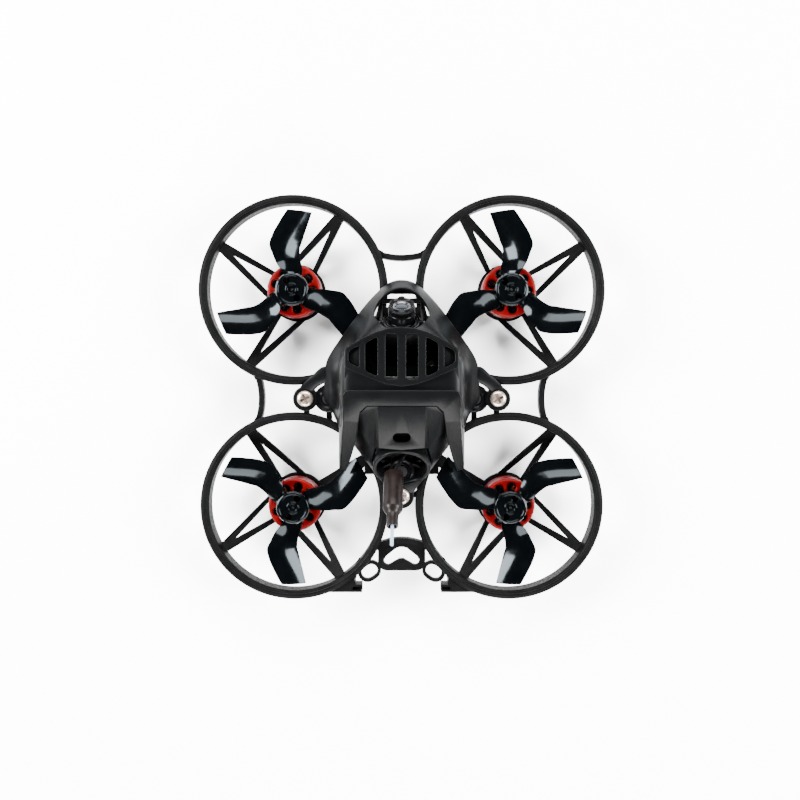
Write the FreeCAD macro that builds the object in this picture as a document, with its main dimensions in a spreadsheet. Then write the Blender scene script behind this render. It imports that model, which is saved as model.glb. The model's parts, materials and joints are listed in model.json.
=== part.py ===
import FreeCAD, Part
import math
import os
import re
import Sketcher

# A ducted micro racing drone.  Millimetres, +Z up, +Y is the front, +X is the drone's right.
# The origin is the middle of the four motors, on the plane that the battery bay stands on.

SIZES = {
    # four ducts
    "MotorSpacing": 53.04,
    "DuctInner": 21.1,
    "DuctWall": 0.8,
    "LipOuter": 23.2,
    "LipThick": 1.3,
    "CrownStep": 0.75,
    "CrownDrop": 0.3,
    "DuctBottom": 7.4,
    "DuctTop": 12.5,
    # motor pads, spokes and arms
    "PadRadius": 7.2,
    "PadBottom": 1.4,
    "PadThick": 1.4,
    "PadHolePitch": 3.3,
    "PadHoleRadius": 0.8,
    "PadCentreRadius": 1.6,
    "SpokeWidth": 1.15,
    "SpokeSlotEnd": 17.8,
    "SpokeTwist": 13.5,
    "SpokeNearLand": -10,
    "SpokeFarLand": 52,
    "ArmWidth": 3.0,
    "ArmThick": 1.6,
    # links between neighbouring ducts
    "LinkMiddle": 34.55,
    "LinkEnd": 35.45,
    "LinkHalfChord": 5.6,
    "LinkWidth": 1.4,
    "LinkBottom": 8.4,
    "LinkHeight": 2.6,
    "RearLinkMiddle": 35.4,
    "RearLinkEnd": 38.3,
    "RearLinkHalfChord": 8.2,
    # battery bay
    "BayInside": 16.5,
    "BayClear": 7.2,
    "BayLength": 38,
    "BayWall": 1.0,
    "BayFloor": 0.9,
    "BayRoof": 0.8,
    "BayWindowLength": 18,
    "BayWindowHeight": 4,
    "BayTopWindowWidth": 11,
    "BayTopWindowLength": 24,
    # flight controller seats and canopy bosses
    "FcHole": 18.03,
    "SeatRadius": 3.0,
    "SeatTop": 9.4,
    "SeatBottom": 7.6,
    "SeatBore": 0.65,
    "BarWidth": 2.2,
    "BarTop": 8.9,
    "BossSide": 23.6,
    "BossRear": 24,
    "BossRadius": 2.8,
    "BossTop": 11.6,
    "BossBore": 0.6,
    "StubWidth": 1.3,
    "StubBottom": 8,
    "StubHeight": 2,
    # rear tab, loops and light brackets
    "TabHalfWidth": 5.9,
    "TabFront": 35.9,
    "TabRear": 43.0,
    "TabCorner": 2.2,
    "TabBottom": 9,
    "TabThick": 1.2,
    "LoopAcross": 8.0,
    "LoopBack": 43.2,
    "LoopHalfLength": 2.1,
    "LoopHalfWidth": 1.5,
    "LoopBand": 0.9,
    "LoopTurn": 34,
    "BracketInner": 9.8,
    "BracketOuter": 18.0,
    "BracketRear": 48.1,
    "BracketFront": 46.2,
    "BracketBottom": 7.4,
    "BracketHeight": 4.2,
    # motors
    "MotorRadius": 6.6,
    "BellWall": 0.6,
    "BellBottom": 4.2,
    "BellTop": 10.5,
    "BellTopThick": 1.1,
    "BellHubRadius": 2.9,
    "WindowOuterPlace": 4.55,
    "WindowOuterRadius": 1.2,
    "WindowInnerPlace": 3.6,
    "WindowInnerRadius": 0.85,
    "MagnetThick": 0.55,
    "MagnetHeight": 3.6,
    "MagnetBottom": 4.7,
    "ShaftRadius": 0.75,
    "ShaftTop": 14.6,
    "ShaftBottom": 2.1,
    "RunningGap": 0.03,
    "BearingOuter": 2.0,
    "BearingHeight": 1.6,
    "TubeOuter": 2.5,
    "TubeTop": 8.6,
    "BaseRadius": 5.6,
    "BaseThick": 0.8,
    "StatorRadius": 5.3,
    "StatorBottom": 4.9,
    "StatorHeight": 2.2,
    "StatorYoke": 3.2,
    "ToothWidth": 0.8,
    "ToothTipWidth": 2.6,
    "ToothTipThick": 0.5,
    "CoilWidth": 1.7,
    "CoilHeight": 3.2,
    "CircRadius": 1.35,
    "CircThick": 0.3,
    # propellers
    "PropRadius": 19.9,
    "HubRadius": 4.03,
    "HubHeight": 4.8,
    "HubHolePitch": 2.5,
    "HubHoleRadius": 0.8,
    "BladeThick": 0.75,
    "BladeEdge": 0.3,
    "BladePitch": 32,
    "BladeMiddle": 12.3,
    # flight controller
    "BoardHalf": 13.9,
    "BoardThick": 1.0,
    "BoardLobe": 3.0,
    "BoardHoleRadius": 2.0,
    "GrommetFlange": 3.45,
    "GrommetFlangeThick": 0.8,
    "GrommetBore": 0.85,
    "GrommetGap": 0.05,
    "GrommetRoom": 0.15,
    "ScrewRadius": 0.6,
    "ScrewHeadRadius": 1.4,
    "ScrewHeadHeight": 0.6,
    "CanopyScrewHead": 2.0,
    "CanopyScrewHeadHeight": 1.0,
    "CanopyScrewLength": 4.0,
    # video transmitter
    "VtxHalf": 9,
    "VtxBottom": 14.8,
    "VtxThick": 0.8,
    "VtxShift": -1,
    "ShieldHalf": 6.5,
    "ShieldHeight": 1.8,
    # canopy
    "CanopyWall": 0.9,
    "CanopyTop": 26,
    "SkirtBottom": 14.3,
    "TailBottom": 12.85,
    "CanopyTabThick": 1.2,
    "CanopyTabRadius": 3.05,
    "NoseShelf": 25.35,
    "NoseShelfThick": 0.8,
    "PortBack": 8.7,
    "PortHalfLength": 2.1,
    "PortHalfWidth": 1.2,
    "LegAcross": 13.0,
    "LegThick": 1.1,
    "LegFront": 2.0,
    "LegRear": 17.0,
    "NoseSlope": 48,
    "ApertureRadius": 6.5,
    "ApertureAcross": 21.4,
    "ApertureUp": 21.2,
    "AntennaSlope": 42,
    "AntennaTubeOuter": 6.9,
    "AntennaTubeWall": 1.0,
    "AntennaTubeLength": 5,
    "MouthBack": 16.7,
    "MouthUp": 17.3,
    "HolderFall": 13,
    # camera
    "CameraTilt": 35,
    "CameraPivotForward": 16.6,
    "CameraPivotUp": 17.2,
    "CameraHalfWidth": 4.5,
    "CameraHalfHeight": 3.4,
    "CameraBack": 2.4,
    "CameraFront": 1.6,
    "CameraBoardThick": 0.8,
    "LensRingRadius": 4.5,
    "LensRingLength": 0.9,
    "LensRadius": 3.2,
    "LensLength": 4.9,
    "LensBore": 2.2,
    "LensGlassThick": 1.0,
    "BracketPlate": 0.8,
    "CradleDrop": 4.45,
    "CradleBar": 1.2,
    "CradleThick": 1.0,
    "CradleShelf": 3.4,
    "BracketGap": 0.15,
    "PivotRadius": 0.7,
    # antenna
    "SleeveRadius": 2.35,
    "SleeveStart": 1.53,
    "SleeveLength": 13.4,
    "SleeveTaper": 1.2,
    "SleeveTipRadius": 1.33,
    "SleeveTipLength": 3.4,
    "SleeveSide": -1.9,
    "SleeveLean": 1.4,
    "WhiskerRadius": 0.4,
    "WhiskerShown": 5.0,
    "WhiskerInside": 2.4,
    "FeedRadius": 0.55,
    "FeedUp": 16.75,
    "FeedShort": 0.45,
    "ConnectorRadius": 1.1,
    "ConnectorHeight": 1.3,
    "ConnectorInset": 1.15,
    "PlugAcross": 1.7,
    "PlugDeep": 2.4,
    "PlugHeight": 2.2,
    "PlugSide": 13.1,
    "PlugFront": 4.6,
    "PlugRear": 3.2,
    "ConnectorSide": 3.4,
    # boot button
    "ButtonTravel": 0.25,
    "ButtonGap": 0.06,
    "ButtonRadius": 0.75,
    "ButtonPlace": 7.495,
}

doc = FreeCAD.newDocument("racing_drone")
sheet = doc.addObject("Spreadsheet::Sheet", "sizes")
for row, (alias, value) in enumerate(SIZES.items(), start=1):
    sheet.set("A%d" % row, alias)
    sheet.set("B%d" % row, str(value))
    sheet.setAlias("B%d" % row, alias)
doc.recompute()

UP = FreeCAD.Vector(0, 0, 1)
ACROSS = FreeCAD.Vector(1, 0, 0)
SUBPARTS = []


# ---------------------------------------------------------------- helpers

def linked(text):
    """The text of an expression, with each size's name tied to the spreadsheet."""
    return re.sub(r"\b([A-Z][A-Za-z]+)\b", r"sizes.\1", str(text))


def size(text):
    """The number that an expression of sizes gives."""
    names = {name: float(sheet.get(name)) for name in re.findall(r"\b[A-Z][A-Za-z]+\b", text)}
    total = 0.0
    for sign, term in re.findall(r"([+-]?)\s*([^+-]+)", text):
        product = 1.0
        divide = False
        for factor in re.split(r"(\*|/)", term):
            factor = factor.strip()
            if factor in ("*", "/"):
                divide = factor == "/"
                continue
            number = names[factor] if factor in names else float(factor)
            product = product / number if divide else product * number
        total += -product if sign == "-" else product
    return total


def bind(item, **texts):
    for name, text in texts.items():
        item.setExpression(name.replace("__", "."), linked(text))


def put(item, x="0", y="0", z="0"):
    """Ties an object's place to expressions of sizes."""
    bind(item, Placement__Base__x=x, Placement__Base__y=y, Placement__Base__z=z)
    return item


def turned(item, axis, degrees):
    item.Placement = FreeCAD.Placement(item.Placement.Base, FreeCAD.Rotation(axis, degrees))
    return item


def cylinder(name, radius, height, x="0", y="0", z="0"):
    item = doc.addObject("Part::Cylinder", name)
    bind(item, Radius=radius, Height=height)
    return put(item, x, y, z)


def block(name, length, width, height, x="0", y="0", z="0"):
    """A box with its middle over (x, y) and its floor at z."""
    item = doc.addObject("Part::Box", name)
    bind(item, Length=length, Width=width, Height=height)
    return put(item, "%s - (%s) / 2" % (x, length), "%s - (%s) / 2" % (y, width), z)


def fuse(name, items):
    item = doc.addObject("Part::MultiFuse", name)
    item.Shapes = items
    return item


def group(name, items):
    item = doc.addObject("Part::Compound", name)
    item.Links = items
    return item


def cut(name, base, tool):
    item = doc.addObject("Part::Cut", name)
    item.Base = base
    item.Tool = tool
    return item


def common(name, base, tool):
    item = doc.addObject("Part::Common", name)
    item.Base = base
    item.Tool = tool
    return item


def finished(item, label):
    item.Label = label
    SUBPARTS.append(item)
    return item


def draw_outline(sketch, points):
    """A closed outline of straight lines, added to a sketch."""
    first = sketch.GeometryCount
    count = len(points)
    for i, (x, y) in enumerate(points):
        end = points[(i + 1) % count]
        line = Part.LineSegment(FreeCAD.Vector(x, y, 0), FreeCAD.Vector(end[0], end[1], 0))
        sketch.addGeometry(line)
    for i in range(count):
        sketch.addConstraint(Sketcher.Constraint("Coincident", first + i, 2, first + (i + 1) % count, 1))


def outline(name, points, height="0"):
    sketch = doc.addObject("Sketcher::SketchObject", name)
    draw_outline(sketch, points)
    bind(sketch, Placement__Base__z=height)
    return sketch


def raised(name, sketch, height):
    """A sketch pulled straight up."""
    item = doc.addObject("Part::Extrusion", name)
    item.Base = sketch
    item.DirMode = "Custom"
    item.Dir = UP
    item.Solid = True
    bind(item, LengthFwd=height)
    return item


def plate(name, points, bottom, height):
    return raised(name, outline(name + "_outline", points, bottom), height)


def spun(name, profile, x="0", y="0"):
    """A profile of (radius, height) points turned about an upright axis through (x, y)."""
    sketch = doc.addObject("Sketcher::SketchObject", name + "_profile")
    draw_outline(sketch, profile)
    sketch.Placement = FreeCAD.Placement(FreeCAD.Vector(), FreeCAD.Rotation(ACROSS, 90))
    bind(sketch, Placement__Base__x=x, Placement__Base__y=y)
    item = doc.addObject("Part::Revolution", name)
    item.Source = sketch
    item.Axis = UP
    bind(item, Base__x=x, Base__y=y)
    item.Angle = 360
    item.Solid = True
    return item


def loft(name, sections):
    item = doc.addObject("Part::Loft", name)
    item.Sections = sections
    item.Solid = True
    item.Ruled = True
    return item


def polar(radius, degrees, centre=(0.0, 0.0)):
    angle = math.radians(degrees)
    return (centre[0] + radius * math.cos(angle), centre[1] + radius * math.sin(angle))


def arc_points(centre, radius, start, end, steps):
    return [polar(radius, start + (end - start) * i / steps, centre) for i in range(steps + 1)]


def mirrored(points):
    """The right half of an outline, front to rear, completed by its mirror image."""
    return points + [(-x, y) for x, y in reversed(points)]


def inset(points, distance):
    """A convex or gently hollow outline moved inwards by a distance."""
    area = sum(a[0] * b[1] - b[0] * a[1] for a, b in zip(points, points[1:] + points[:1]))
    side = 1 if area > 0 else -1
    count = len(points)
    moved = []
    for i in range(count):
        before, here, after = points[i - 1], points[i], points[(i + 1) % count]
        normals = []
        for start, end in ((before, here), (here, after)):
            dx, dy = end[0] - start[0], end[1] - start[1]
            length = math.hypot(dx, dy)
            normals.append((-dy * side / length, dx * side / length))
        (ax, ay), (bx, by) = normals
        scale = distance / (1 + ax * bx + ay * by)
        moved.append((here[0] + (ax + bx) * scale, here[1] + (ay + by) * scale))
    return moved


# The four corners: name, which side, front or rear, and the sense of the spokes and propeller.
CORNERS = [
    ("front_left", -1, 1, 1, 84.7),
    ("front_right", 1, 1, -1, 96.5),
    ("rear_left", -1, -1, -1, 29.8),
    ("rear_right", 1, -1, 1, 29.3),
]


def corner_place(side, front):
    half = size("MotorSpacing / 2")
    return (side * half, front * half)


def corner_text(sign):
    return "%d * MotorSpacing / 2" % sign


# ---------------------------------------------------------------- frame

def duct_ring(name, side, front):
    """A thin upright wall that rolls outwards into a rounded lip."""
    inner = size("DuctInner")
    wall_out = size("DuctInner + DuctWall")
    lip = size("LipOuter")
    top = size("DuctTop")
    under = size("DuctTop - LipThick")
    roll = lip - inner
    crown = [(inner + roll * 0.5 - roll * 0.5 * math.cos(math.radians(a)),
              top - size("LipThick") * 0.6 * (1 - math.sin(math.radians(a)))) for a in range(0, 181, 20)]
    step, drop = inner + size("CrownStep"), size("CrownDrop")
    lower = [(r, z - drop) for r, z in crown if r < step - 0.05]
    upper = [(r, z) for r, z in crown if r > step + 0.05]
    profile = [(inner, size("DuctBottom"))] + lower
    profile += [(step, upper[0][1] - drop), (step, upper[0][1] - 0.08)] + upper
    profile += [(lip, under + 0.25), (lip - 0.25, under), (wall_out + 0.3, under), (wall_out, under - 0.3)]
    profile += [(wall_out, size("DuctBottom"))]
    return spun(name, profile, corner_text(side), corner_text(front))


def spoke_outline(direction, sense, centre):
    """One V of two bars: joined at the duct, parted at the motor pad."""
    half = size("SpokeWidth / 2")
    ring = size("DuctInner + DuctWall / 2")
    land = size("PadRadius - 0.9")
    near = polar(land, direction + sense * size("SpokeNearLand"))
    far = polar(land, direction + sense * size("SpokeFarLand"))
    tip = polar(ring, direction)
    slot = polar(size("SpokeSlotEnd"), direction + sense * 1.3)

    def beside(start, end, offset):
        dx, dy = end[0] - start[0], end[1] - start[1]
        length = math.hypot(dx, dy)
        return (-dy / length * offset * sense, dx / length * offset * sense)

    near_out = beside(tip, near, half)
    far_out = beside(tip, far, -half)
    flare = 0.7
    at_ring = beside((0.0, 0.0), tip, half + flare)
    shape = [
        (tip[0] - at_ring[0], tip[1] - at_ring[1]),
        (near[0] + near_out[0], near[1] + near_out[1]),
        (near[0] - near_out[0], near[1] - near_out[1]),
        slot,
        (far[0] - far_out[0], far[1] - far_out[1]),
        (far[0] + far_out[0], far[1] + far_out[1]),
        (tip[0] + at_ring[0], tip[1] + at_ring[1]),
    ]
    return [(x + centre[0], y + centre[1]) for x, y in shape]


def spokes(name, side, front, sense):
    """Three V spokes that climb from the motor pad to the foot of the duct wall."""
    centre = corner_place(side, front)
    outward = math.degrees(math.atan2(front, side)) + sense * size("SpokeTwist")
    sketch = doc.addObject("Sketcher::SketchObject", name + "_plan")
    for quarter in (-90, 0, 90):
        draw_outline(sketch, spoke_outline(outward + quarter, sense, centre))
    plan = raised(name + "_plan_up", sketch, "DuctTop")
    inner = size("PadRadius - 2")
    ring = size("DuctInner + DuctWall / 2")
    low = size("PadBottom")
    rise = size("DuctBottom + 0.4")
    thick = size("PadThick")
    shell = [(inner, low), (ring, rise), (ring, rise + thick), (inner, low + thick)]
    cone = spun(name + "_cone", shell, corner_text(side), corner_text(front))
    return common(name, plan, cone)


def arm(name, side, front, sense):
    """The flat arm from a motor pad to the side of the battery bay."""
    centre = corner_place(side, front)
    direction = math.degrees(math.atan2(front, side)) + sense * size("SpokeTwist") + 180
    reach = size("MotorSpacing / 2 - BayInside / 2 - BayWall / 2") / abs(math.cos(math.radians(direction)))
    half = size("ArmWidth / 2")
    start = size("PadRadius - 1")
    across = direction + 90
    corners = []
    for radius, offset in ((start, -half), (reach, -half), (reach, half), (start, half)):
        along = polar(radius, direction, centre)
        corners.append(polar(offset, across, along))
    return plate(name, corners, "PadBottom", "ArmThick")


def link(name, turn, middle, end, half_chord):
    """A thin bar between two ducts, bowed towards the middle of the drone."""
    bow = end - middle
    radius = (half_chord ** 2 + bow ** 2) / (2 * bow)
    centre = (0.0, middle + radius)
    spread = math.degrees(math.asin(half_chord / radius))
    half = size("LinkWidth / 2")
    outer = arc_points(centre, radius + half, 270 - spread, 270 + spread, 12)
    inner = arc_points(centre, radius - half, 270 + spread, 270 - spread, 12)
    angle = math.radians(turn)
    points = [(x * math.cos(angle) - y * math.sin(angle), x * math.sin(angle) + y * math.cos(angle))
              for x, y in outer + inner]
    return plate(name, points, "LinkBottom", "LinkHeight")


# One corner of a link: where its bar flares out along the two ducts, on the right of the front link.
GUSSET_AXIS = 26.52
GUSSET = [(4.2, 34.7), (4.6, 36.05), (5.6, 36.55), (6.5, 37.6), (7.5, 39.4),
          (8.6, 38.8), (7.4, 36.4), (6.4, 33.8), (5.0, 34.4)]


def gusset(name, turn, sign):
    """The web that rounds the corner between a link and a duct."""
    spread = size("MotorSpacing / 2") - GUSSET_AXIS
    angle = math.radians(turn)
    c, s = math.cos(angle), math.sin(angle)
    moved = [(sign * (x + spread), y + spread) for x, y in GUSSET]
    return plate(name, [(x * c - y * s, x * s + y * c) for x, y in moved], "LinkBottom", "LinkHeight")


def links():
    middle, end, chord = size("LinkMiddle"), size("LinkEnd"), size("LinkHalfChord")
    made = [link("link_%d" % turn, turn, middle, end, chord) for turn in (0, 90, 270)]
    for turn in (0, 90, 270):
        made += [gusset("gusset_%d_%d" % (turn, sign + 1), turn, sign) for sign in (-1, 1)]
    made.append(link("link_rear", 180, size("RearLinkMiddle"), size("RearLinkEnd"),
                     size("RearLinkHalfChord")))
    return made


def battery_bay():
    """A square tube, open at both ends, with windows to save weight."""
    outer_width = "BayInside + 2 * BayWall"
    outer = block("bay_outer", outer_width, "BayLength", "BayFloor + BayClear + BayRoof")
    inside = block("bay_inside", "BayInside", "BayLength + 2", "BayClear", z="BayFloor")
    side = block("bay_side_window", "BayInside + 4 * BayWall", "BayWindowLength", "BayWindowHeight",
                 z="BayFloor + BayClear / 2 - BayWindowHeight / 2")
    above = block("bay_top_window", "BayTopWindowWidth", "BayTopWindowLength", "BayRoof + 2",
                  z="BayFloor + BayClear - 1")
    tools = [inside, side, above]
    for sign in (-1, 1):
        tools.append(block("bay_floor_window_%d" % (sign + 1), "BayTopWindowWidth",
                           "BayTopWindowLength / 3",
                           "BayFloor + 2", y="%d * BayTopWindowLength / 4" % sign, z="-1"))
    return cut("battery_bay", outer, fuse("bay_tools", tools))


def seats_and_bosses():
    """The four seats of the flight controller and the three bosses of the canopy."""
    made = []
    height = "SeatTop - SeatBottom"
    for name, x, y in (("left", "-FcHole", "0"), ("right", "FcHole", "0"),
                       ("front", "0", "FcHole"), ("rear", "0", "-FcHole")):
        made.append(cylinder("seat_" + name, "SeatRadius", height, x, y, "SeatBottom"))
    for name, x, y in (("left", "-BossSide", "0"), ("right", "BossSide", "0"), ("rear", "0", "-BossRear")):
        made.append(cylinder("boss_" + name, "BossRadius", "BossTop - SeatBottom", x, y, "SeatBottom"))
    bar_height = "BarTop - SeatBottom"
    side_reach = "BossSide - BayInside / 2"
    for sign in (-1, 1):
        made.append(block("side_bar_%d" % (sign + 1), side_reach, "BarWidth", bar_height,
                          "%d * (BossSide + BayInside / 2) / 2" % sign, "0", "SeatBottom"))
        stub_x = "%d * BossSide" % sign
        made.append(block("side_stub_%d" % (sign + 1), "StubWidth", "MotorSpacing - 2 * DuctInner - 1",
                          "StubHeight", stub_x, "0", "StubBottom"))
        made.append(block("seat_stub_%d" % (sign + 1), "StubWidth", "6.6", "StubHeight",
                          "%d * FcHole" % sign, "-3.3", "SeatBottom"))
    made.append(block("rear_bar", "BarWidth", "BossRear - BayLength / 2 + 2", bar_height,
                      "0", "-(BossRear + BayLength / 2 - 2) / 2", "SeatBottom"))
    made.append(block("rear_stub", "MotorSpacing - 2 * DuctInner - 1", "StubWidth", "StubHeight",
                      "0", "-BossRear", "StubBottom"))
    return made


def seat_bores():
    made = []
    for name, x, y in (("left", "-FcHole", "0"), ("right", "FcHole", "0"),
                       ("front", "0", "FcHole"), ("rear", "0", "-FcHole")):
        made.append(cylinder("seat_bore_" + name, "SeatBore", "4", x, y, "SeatTop - 2.6"))
        made.append(grommet_room("seat_room_" + name, x, y))
    for name, x, y in (("left", "-BossSide", "0"), ("right", "BossSide", "0"), ("rear", "0", "-BossRear")):
        made.append(cylinder("boss_bore_" + name, "BossBore", "4", x, y, "BossTop - 3.4"))
    return made


def rear_tab():
    """The rounded tab behind the rear link, with a boomerang-shaped opening."""
    half = size("TabHalfWidth")
    front = -size("TabFront")
    rear = -size("TabRear")
    corner = size("TabCorner")
    right = [(half - 0.9, front), (half, front - 1.2)]
    right += arc_points((half - corner, rear + corner), corner, 0, -90, 5)
    body = plate("tab_body", mirrored(right), "TabBottom", "TabThick")
    hole_right = [(0.6, rear + 5.9), (1.4, rear + 5.6), (3.9, rear + 3.6)]
    hole_right += arc_points((3.4, rear + 2.5), 1.0, 50, -120, 6)
    hole_right += [(0.5, rear + 3.0)]
    opening = plate("tab_opening", mirrored(hole_right), "TabBottom - 1", "TabThick + 2")
    return cut("rear_tab", body, opening)


def obround(centre, half_length, half_width, turn):
    straight = half_length - half_width
    points = []
    for sign in (1, -1):
        middle = polar(sign * straight, turn, centre)
        start = turn - 90 if sign > 0 else turn + 90
        points += arc_points(middle, half_width, start, start + 180, 8)
    return points


def rear_loop(name, side):
    """An oval eye beside the tab, for a strap or a tie."""
    centre = (side * size("LoopAcross"), -size("LoopBack"))
    turn = -side * size("LoopTurn")
    length, width, band = size("LoopHalfLength"), size("LoopHalfWidth"), size("LoopBand")
    outer = plate(name + "_outer", obround(centre, length + band, width + band, turn), "TabBottom",
                  "TabThick")
    hole = plate(name + "_hole", obround(centre, length, width, turn), "TabBottom - 1", "TabThick + 2")
    root = (side * size("LoopAcross + 2.6"), -size("LoopBack - 3.4"))
    foot = (side * size("LoopAcross + 4.6"), -size("LoopBack"))
    web = [(side * size("LoopAcross + 1.0"), -size("LoopBack - 2.2")), root, foot,
           (side * size("LoopAcross + 3.4"), -size("LoopBack + 1.9")),
           (side * size("LoopAcross + 2.6"), -size("LoopBack - 0.4"))]
    neck = plate(name + "_neck", web, "TabBottom", "TabThick")
    return cut(name, fuse(name + "_whole", [outer, neck]), hole)


def light_bracket(name, side):
    """The square-ended web on the rear of a duct that takes the end of a light strip."""
    inner, outer = size("BracketInner"), size("BracketOuter")
    rear, front = -size("BracketRear"), -size("BracketFront")
    points = [(side * (inner + 2.2), front + 3.4), (side * outer, front - 0.1), (side * outer, rear),
              (side * inner, rear), (side * inner, front), (side * (inner + 1.6), front)]
    web = plate(name + "_web", points, "BracketBottom", "BracketHeight")
    slot = block(name + "_slot", "2.4", "0.9", "BracketHeight", "%d * (BracketInner + 1.2)" % side,
                 "-(BracketRear + BracketFront) / 2", "BracketBottom + 0.8")
    return cut(name, web, slot)


def pad_bores(name, side, front, sense):
    x, y = corner_text(side), corner_text(front)
    made = [cylinder(name + "_centre", "PadCentreRadius", "PadThick + 2", x, y, "PadBottom - 1")]
    made.append(cylinder(name + "_lift", "MotorRadius + 0.6", "DuctTop", x, y, "PadBottom + PadThick"))
    for turn in (0, 120, 240):
        dx, dy = polar(1.0, turn + 90)
        made.append(cylinder("%s_%d" % (name, turn), "PadHoleRadius", "PadThick + 2",
                             "%s + %.6f * PadHolePitch" % (x, dx), "%s + %.6f * PadHolePitch" % (y, dy),
                             "PadBottom - 1"))
    return made


def duct_hollow(name, side, front):
    """The clear round space in which a propeller turns."""
    return cylinder(name, "DuctInner", "DuctTop", corner_text(side), corner_text(front), "DuctBottom + 2.2")


def duct_space(name, side, front):
    """The room of one duct: its round, and at the rear the loop and light bracket, without the battery bay."""
    x, y = corner_text(side), corner_text(front)
    room = [cylinder(name + "_round", "LipOuter", "DuctTop + 2", x, y, "-1")]
    if front < 0:
        room.append(block(name + "_rear", "20", "14", "DuctTop + 2", "%d * (TabHalfWidth + 10.3)" % side,
                          "-(TabFront + 8.1)", "-1"))
    bay = block(name + "_bay", "BayInside + 2 * BayWall", "BayLength",
                "BayFloor + BayClear + BayRoof + 1", z="-1")
    return cut(name, fuse(name + "_whole", room) if front < 0 else room[0], bay)


def divide_frame(moulding):
    """The one moulding as its parts: the bay with its seats, the links, and the four ducts."""
    spaces = []
    for corner, side, front, sense, phase in CORNERS:
        space = duct_space("space_" + corner, side, front)
        finished(common("duct_part_" + corner, moulding, space), "duct_" + corner)
        spaces.append(space)
    rest = cut("frame_rest", moulding, fuse("duct_spaces", spaces))
    middle = "2 * BossSide + 12"
    centre = block("frame_centre", middle, middle, "DuctTop + 2", z="-1")
    finished(common("frame_middle", rest, centre), "frame")
    finished(cut("frame_outer", rest, centre), "frame_links")


def grommet_room(name, x, y):
    """Clear room for a grommet and its flanges, above the seat."""
    return cylinder(name, "GrommetFlange + GrommetRoom",
                    "2 * GrommetFlangeThick + BoardThick + GrommetRoom",
                    x, y, "SeatTop")


def make_frame():
    solids = [battery_bay()]
    tools = seat_bores()
    solids += seats_and_bosses()
    solids += links()
    solids.append(rear_tab())
    for corner, side, front, sense, phase in CORNERS:
        solids.append(duct_ring("ring_" + corner, side, front))
        solids.append(spokes("spokes_" + corner, side, front, sense))
        solids.append(arm("arm_" + corner, side, front, sense))
        solids.append(cylinder("pad_" + corner, "PadRadius", "PadThick",
                               corner_text(side), corner_text(front), "PadBottom"))
        tools += pad_bores("pad_bore_" + corner, side, front, sense)
        tools.append(duct_hollow("hollow_" + corner, side, front))
    for name, side in (("left", -1), ("right", 1)):
        solids.append(rear_loop("loop_" + name, side))
        solids.append(light_bracket("bracket_" + name, side))
    whole = fuse("frame_whole", solids)
    inside = block("bay_keep_clear", "BayInside", "BayLength + 4", "BayClear", z="BayFloor")
    tools.append(inside)
    divide_frame(cut("frame_cut", whole, fuse("frame_tools", tools)))


# ---------------------------------------------------------------- motors

def make_motor_base(corner, x, y):
    floor = size("PadBottom + PadThick")
    tube, base = size("TubeOuter"), size("BaseRadius")
    bore = size("BearingOuter")
    top = size("TubeTop")
    ledge = size("ShaftRadius + 0.45")
    low = floor + size("BaseThick")
    profile = [(ledge, floor), (base, floor), (base, low), (tube, low), (tube, top), (bore, top)]
    profile += [(bore, top - size("BearingHeight")), (ledge, top - size("BearingHeight"))]
    profile += [(ledge, low + size("BearingHeight")), (bore, low + size("BearingHeight"))]
    profile += [(bore, low), (ledge, low)]
    turned_body = spun("base_turned_" + corner, profile, x, y)
    holes = []
    for turn in (0, 120, 240):
        dx, dy = polar(1.0, turn + 90)
        holes.append(cylinder("base_hole_%s_%d" % (corner, turn), "ScrewRadius", "BaseThick + 2",
                              "%s + %.6f * PadHolePitch" % (x, dx), "%s + %.6f * PadHolePitch" % (y, dy),
                              "PadBottom + PadThick - 1"))
    finished(cut("base_cut_" + corner, turned_body, fuse("base_holes_" + corner, holes)),
             "motor_base_" + corner)


def ring_section(inner, outer, bottom, top):
    return [(inner, bottom), (outer, bottom), (outer, top), (inner, top)]


def make_bearings():
    made = []
    inner = size("ShaftRadius + RunningGap")
    outer = size("BearingOuter")
    low = size("PadBottom + PadThick + BaseThick")
    top = size("TubeTop")
    tall = size("BearingHeight")
    for corner, side, front, sense, phase in CORNERS:
        x, y = corner_text(side), corner_text(front)
        made.append(spun("bearing_low_" + corner, ring_section(inner, outer, low, low + tall), x, y))
        made.append(spun("bearing_high_" + corner, ring_section(inner, outer, top - tall, top), x, y))
    finished(group("bearing_group", made), "motor_bearings")


def turned_box(name, length, width, height, start, angle, x, y, z):
    """A box that starts at a radius and points outwards at an angle from (x, y)."""
    item = doc.addObject("Part::Box", name)
    bind(item, Length=length, Width=width, Height=height)
    turned(item, UP, angle)
    c, s = math.cos(math.radians(angle)), math.sin(math.radians(angle))
    put(item, "%s + %.6f * (%s) + %.6f * (%s) / 2" % (x, c, start, s, width),
        "%s + %.6f * (%s) - %.6f * (%s) / 2" % (y, s, start, c, width), z)
    return item


TEETH = 9


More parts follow.
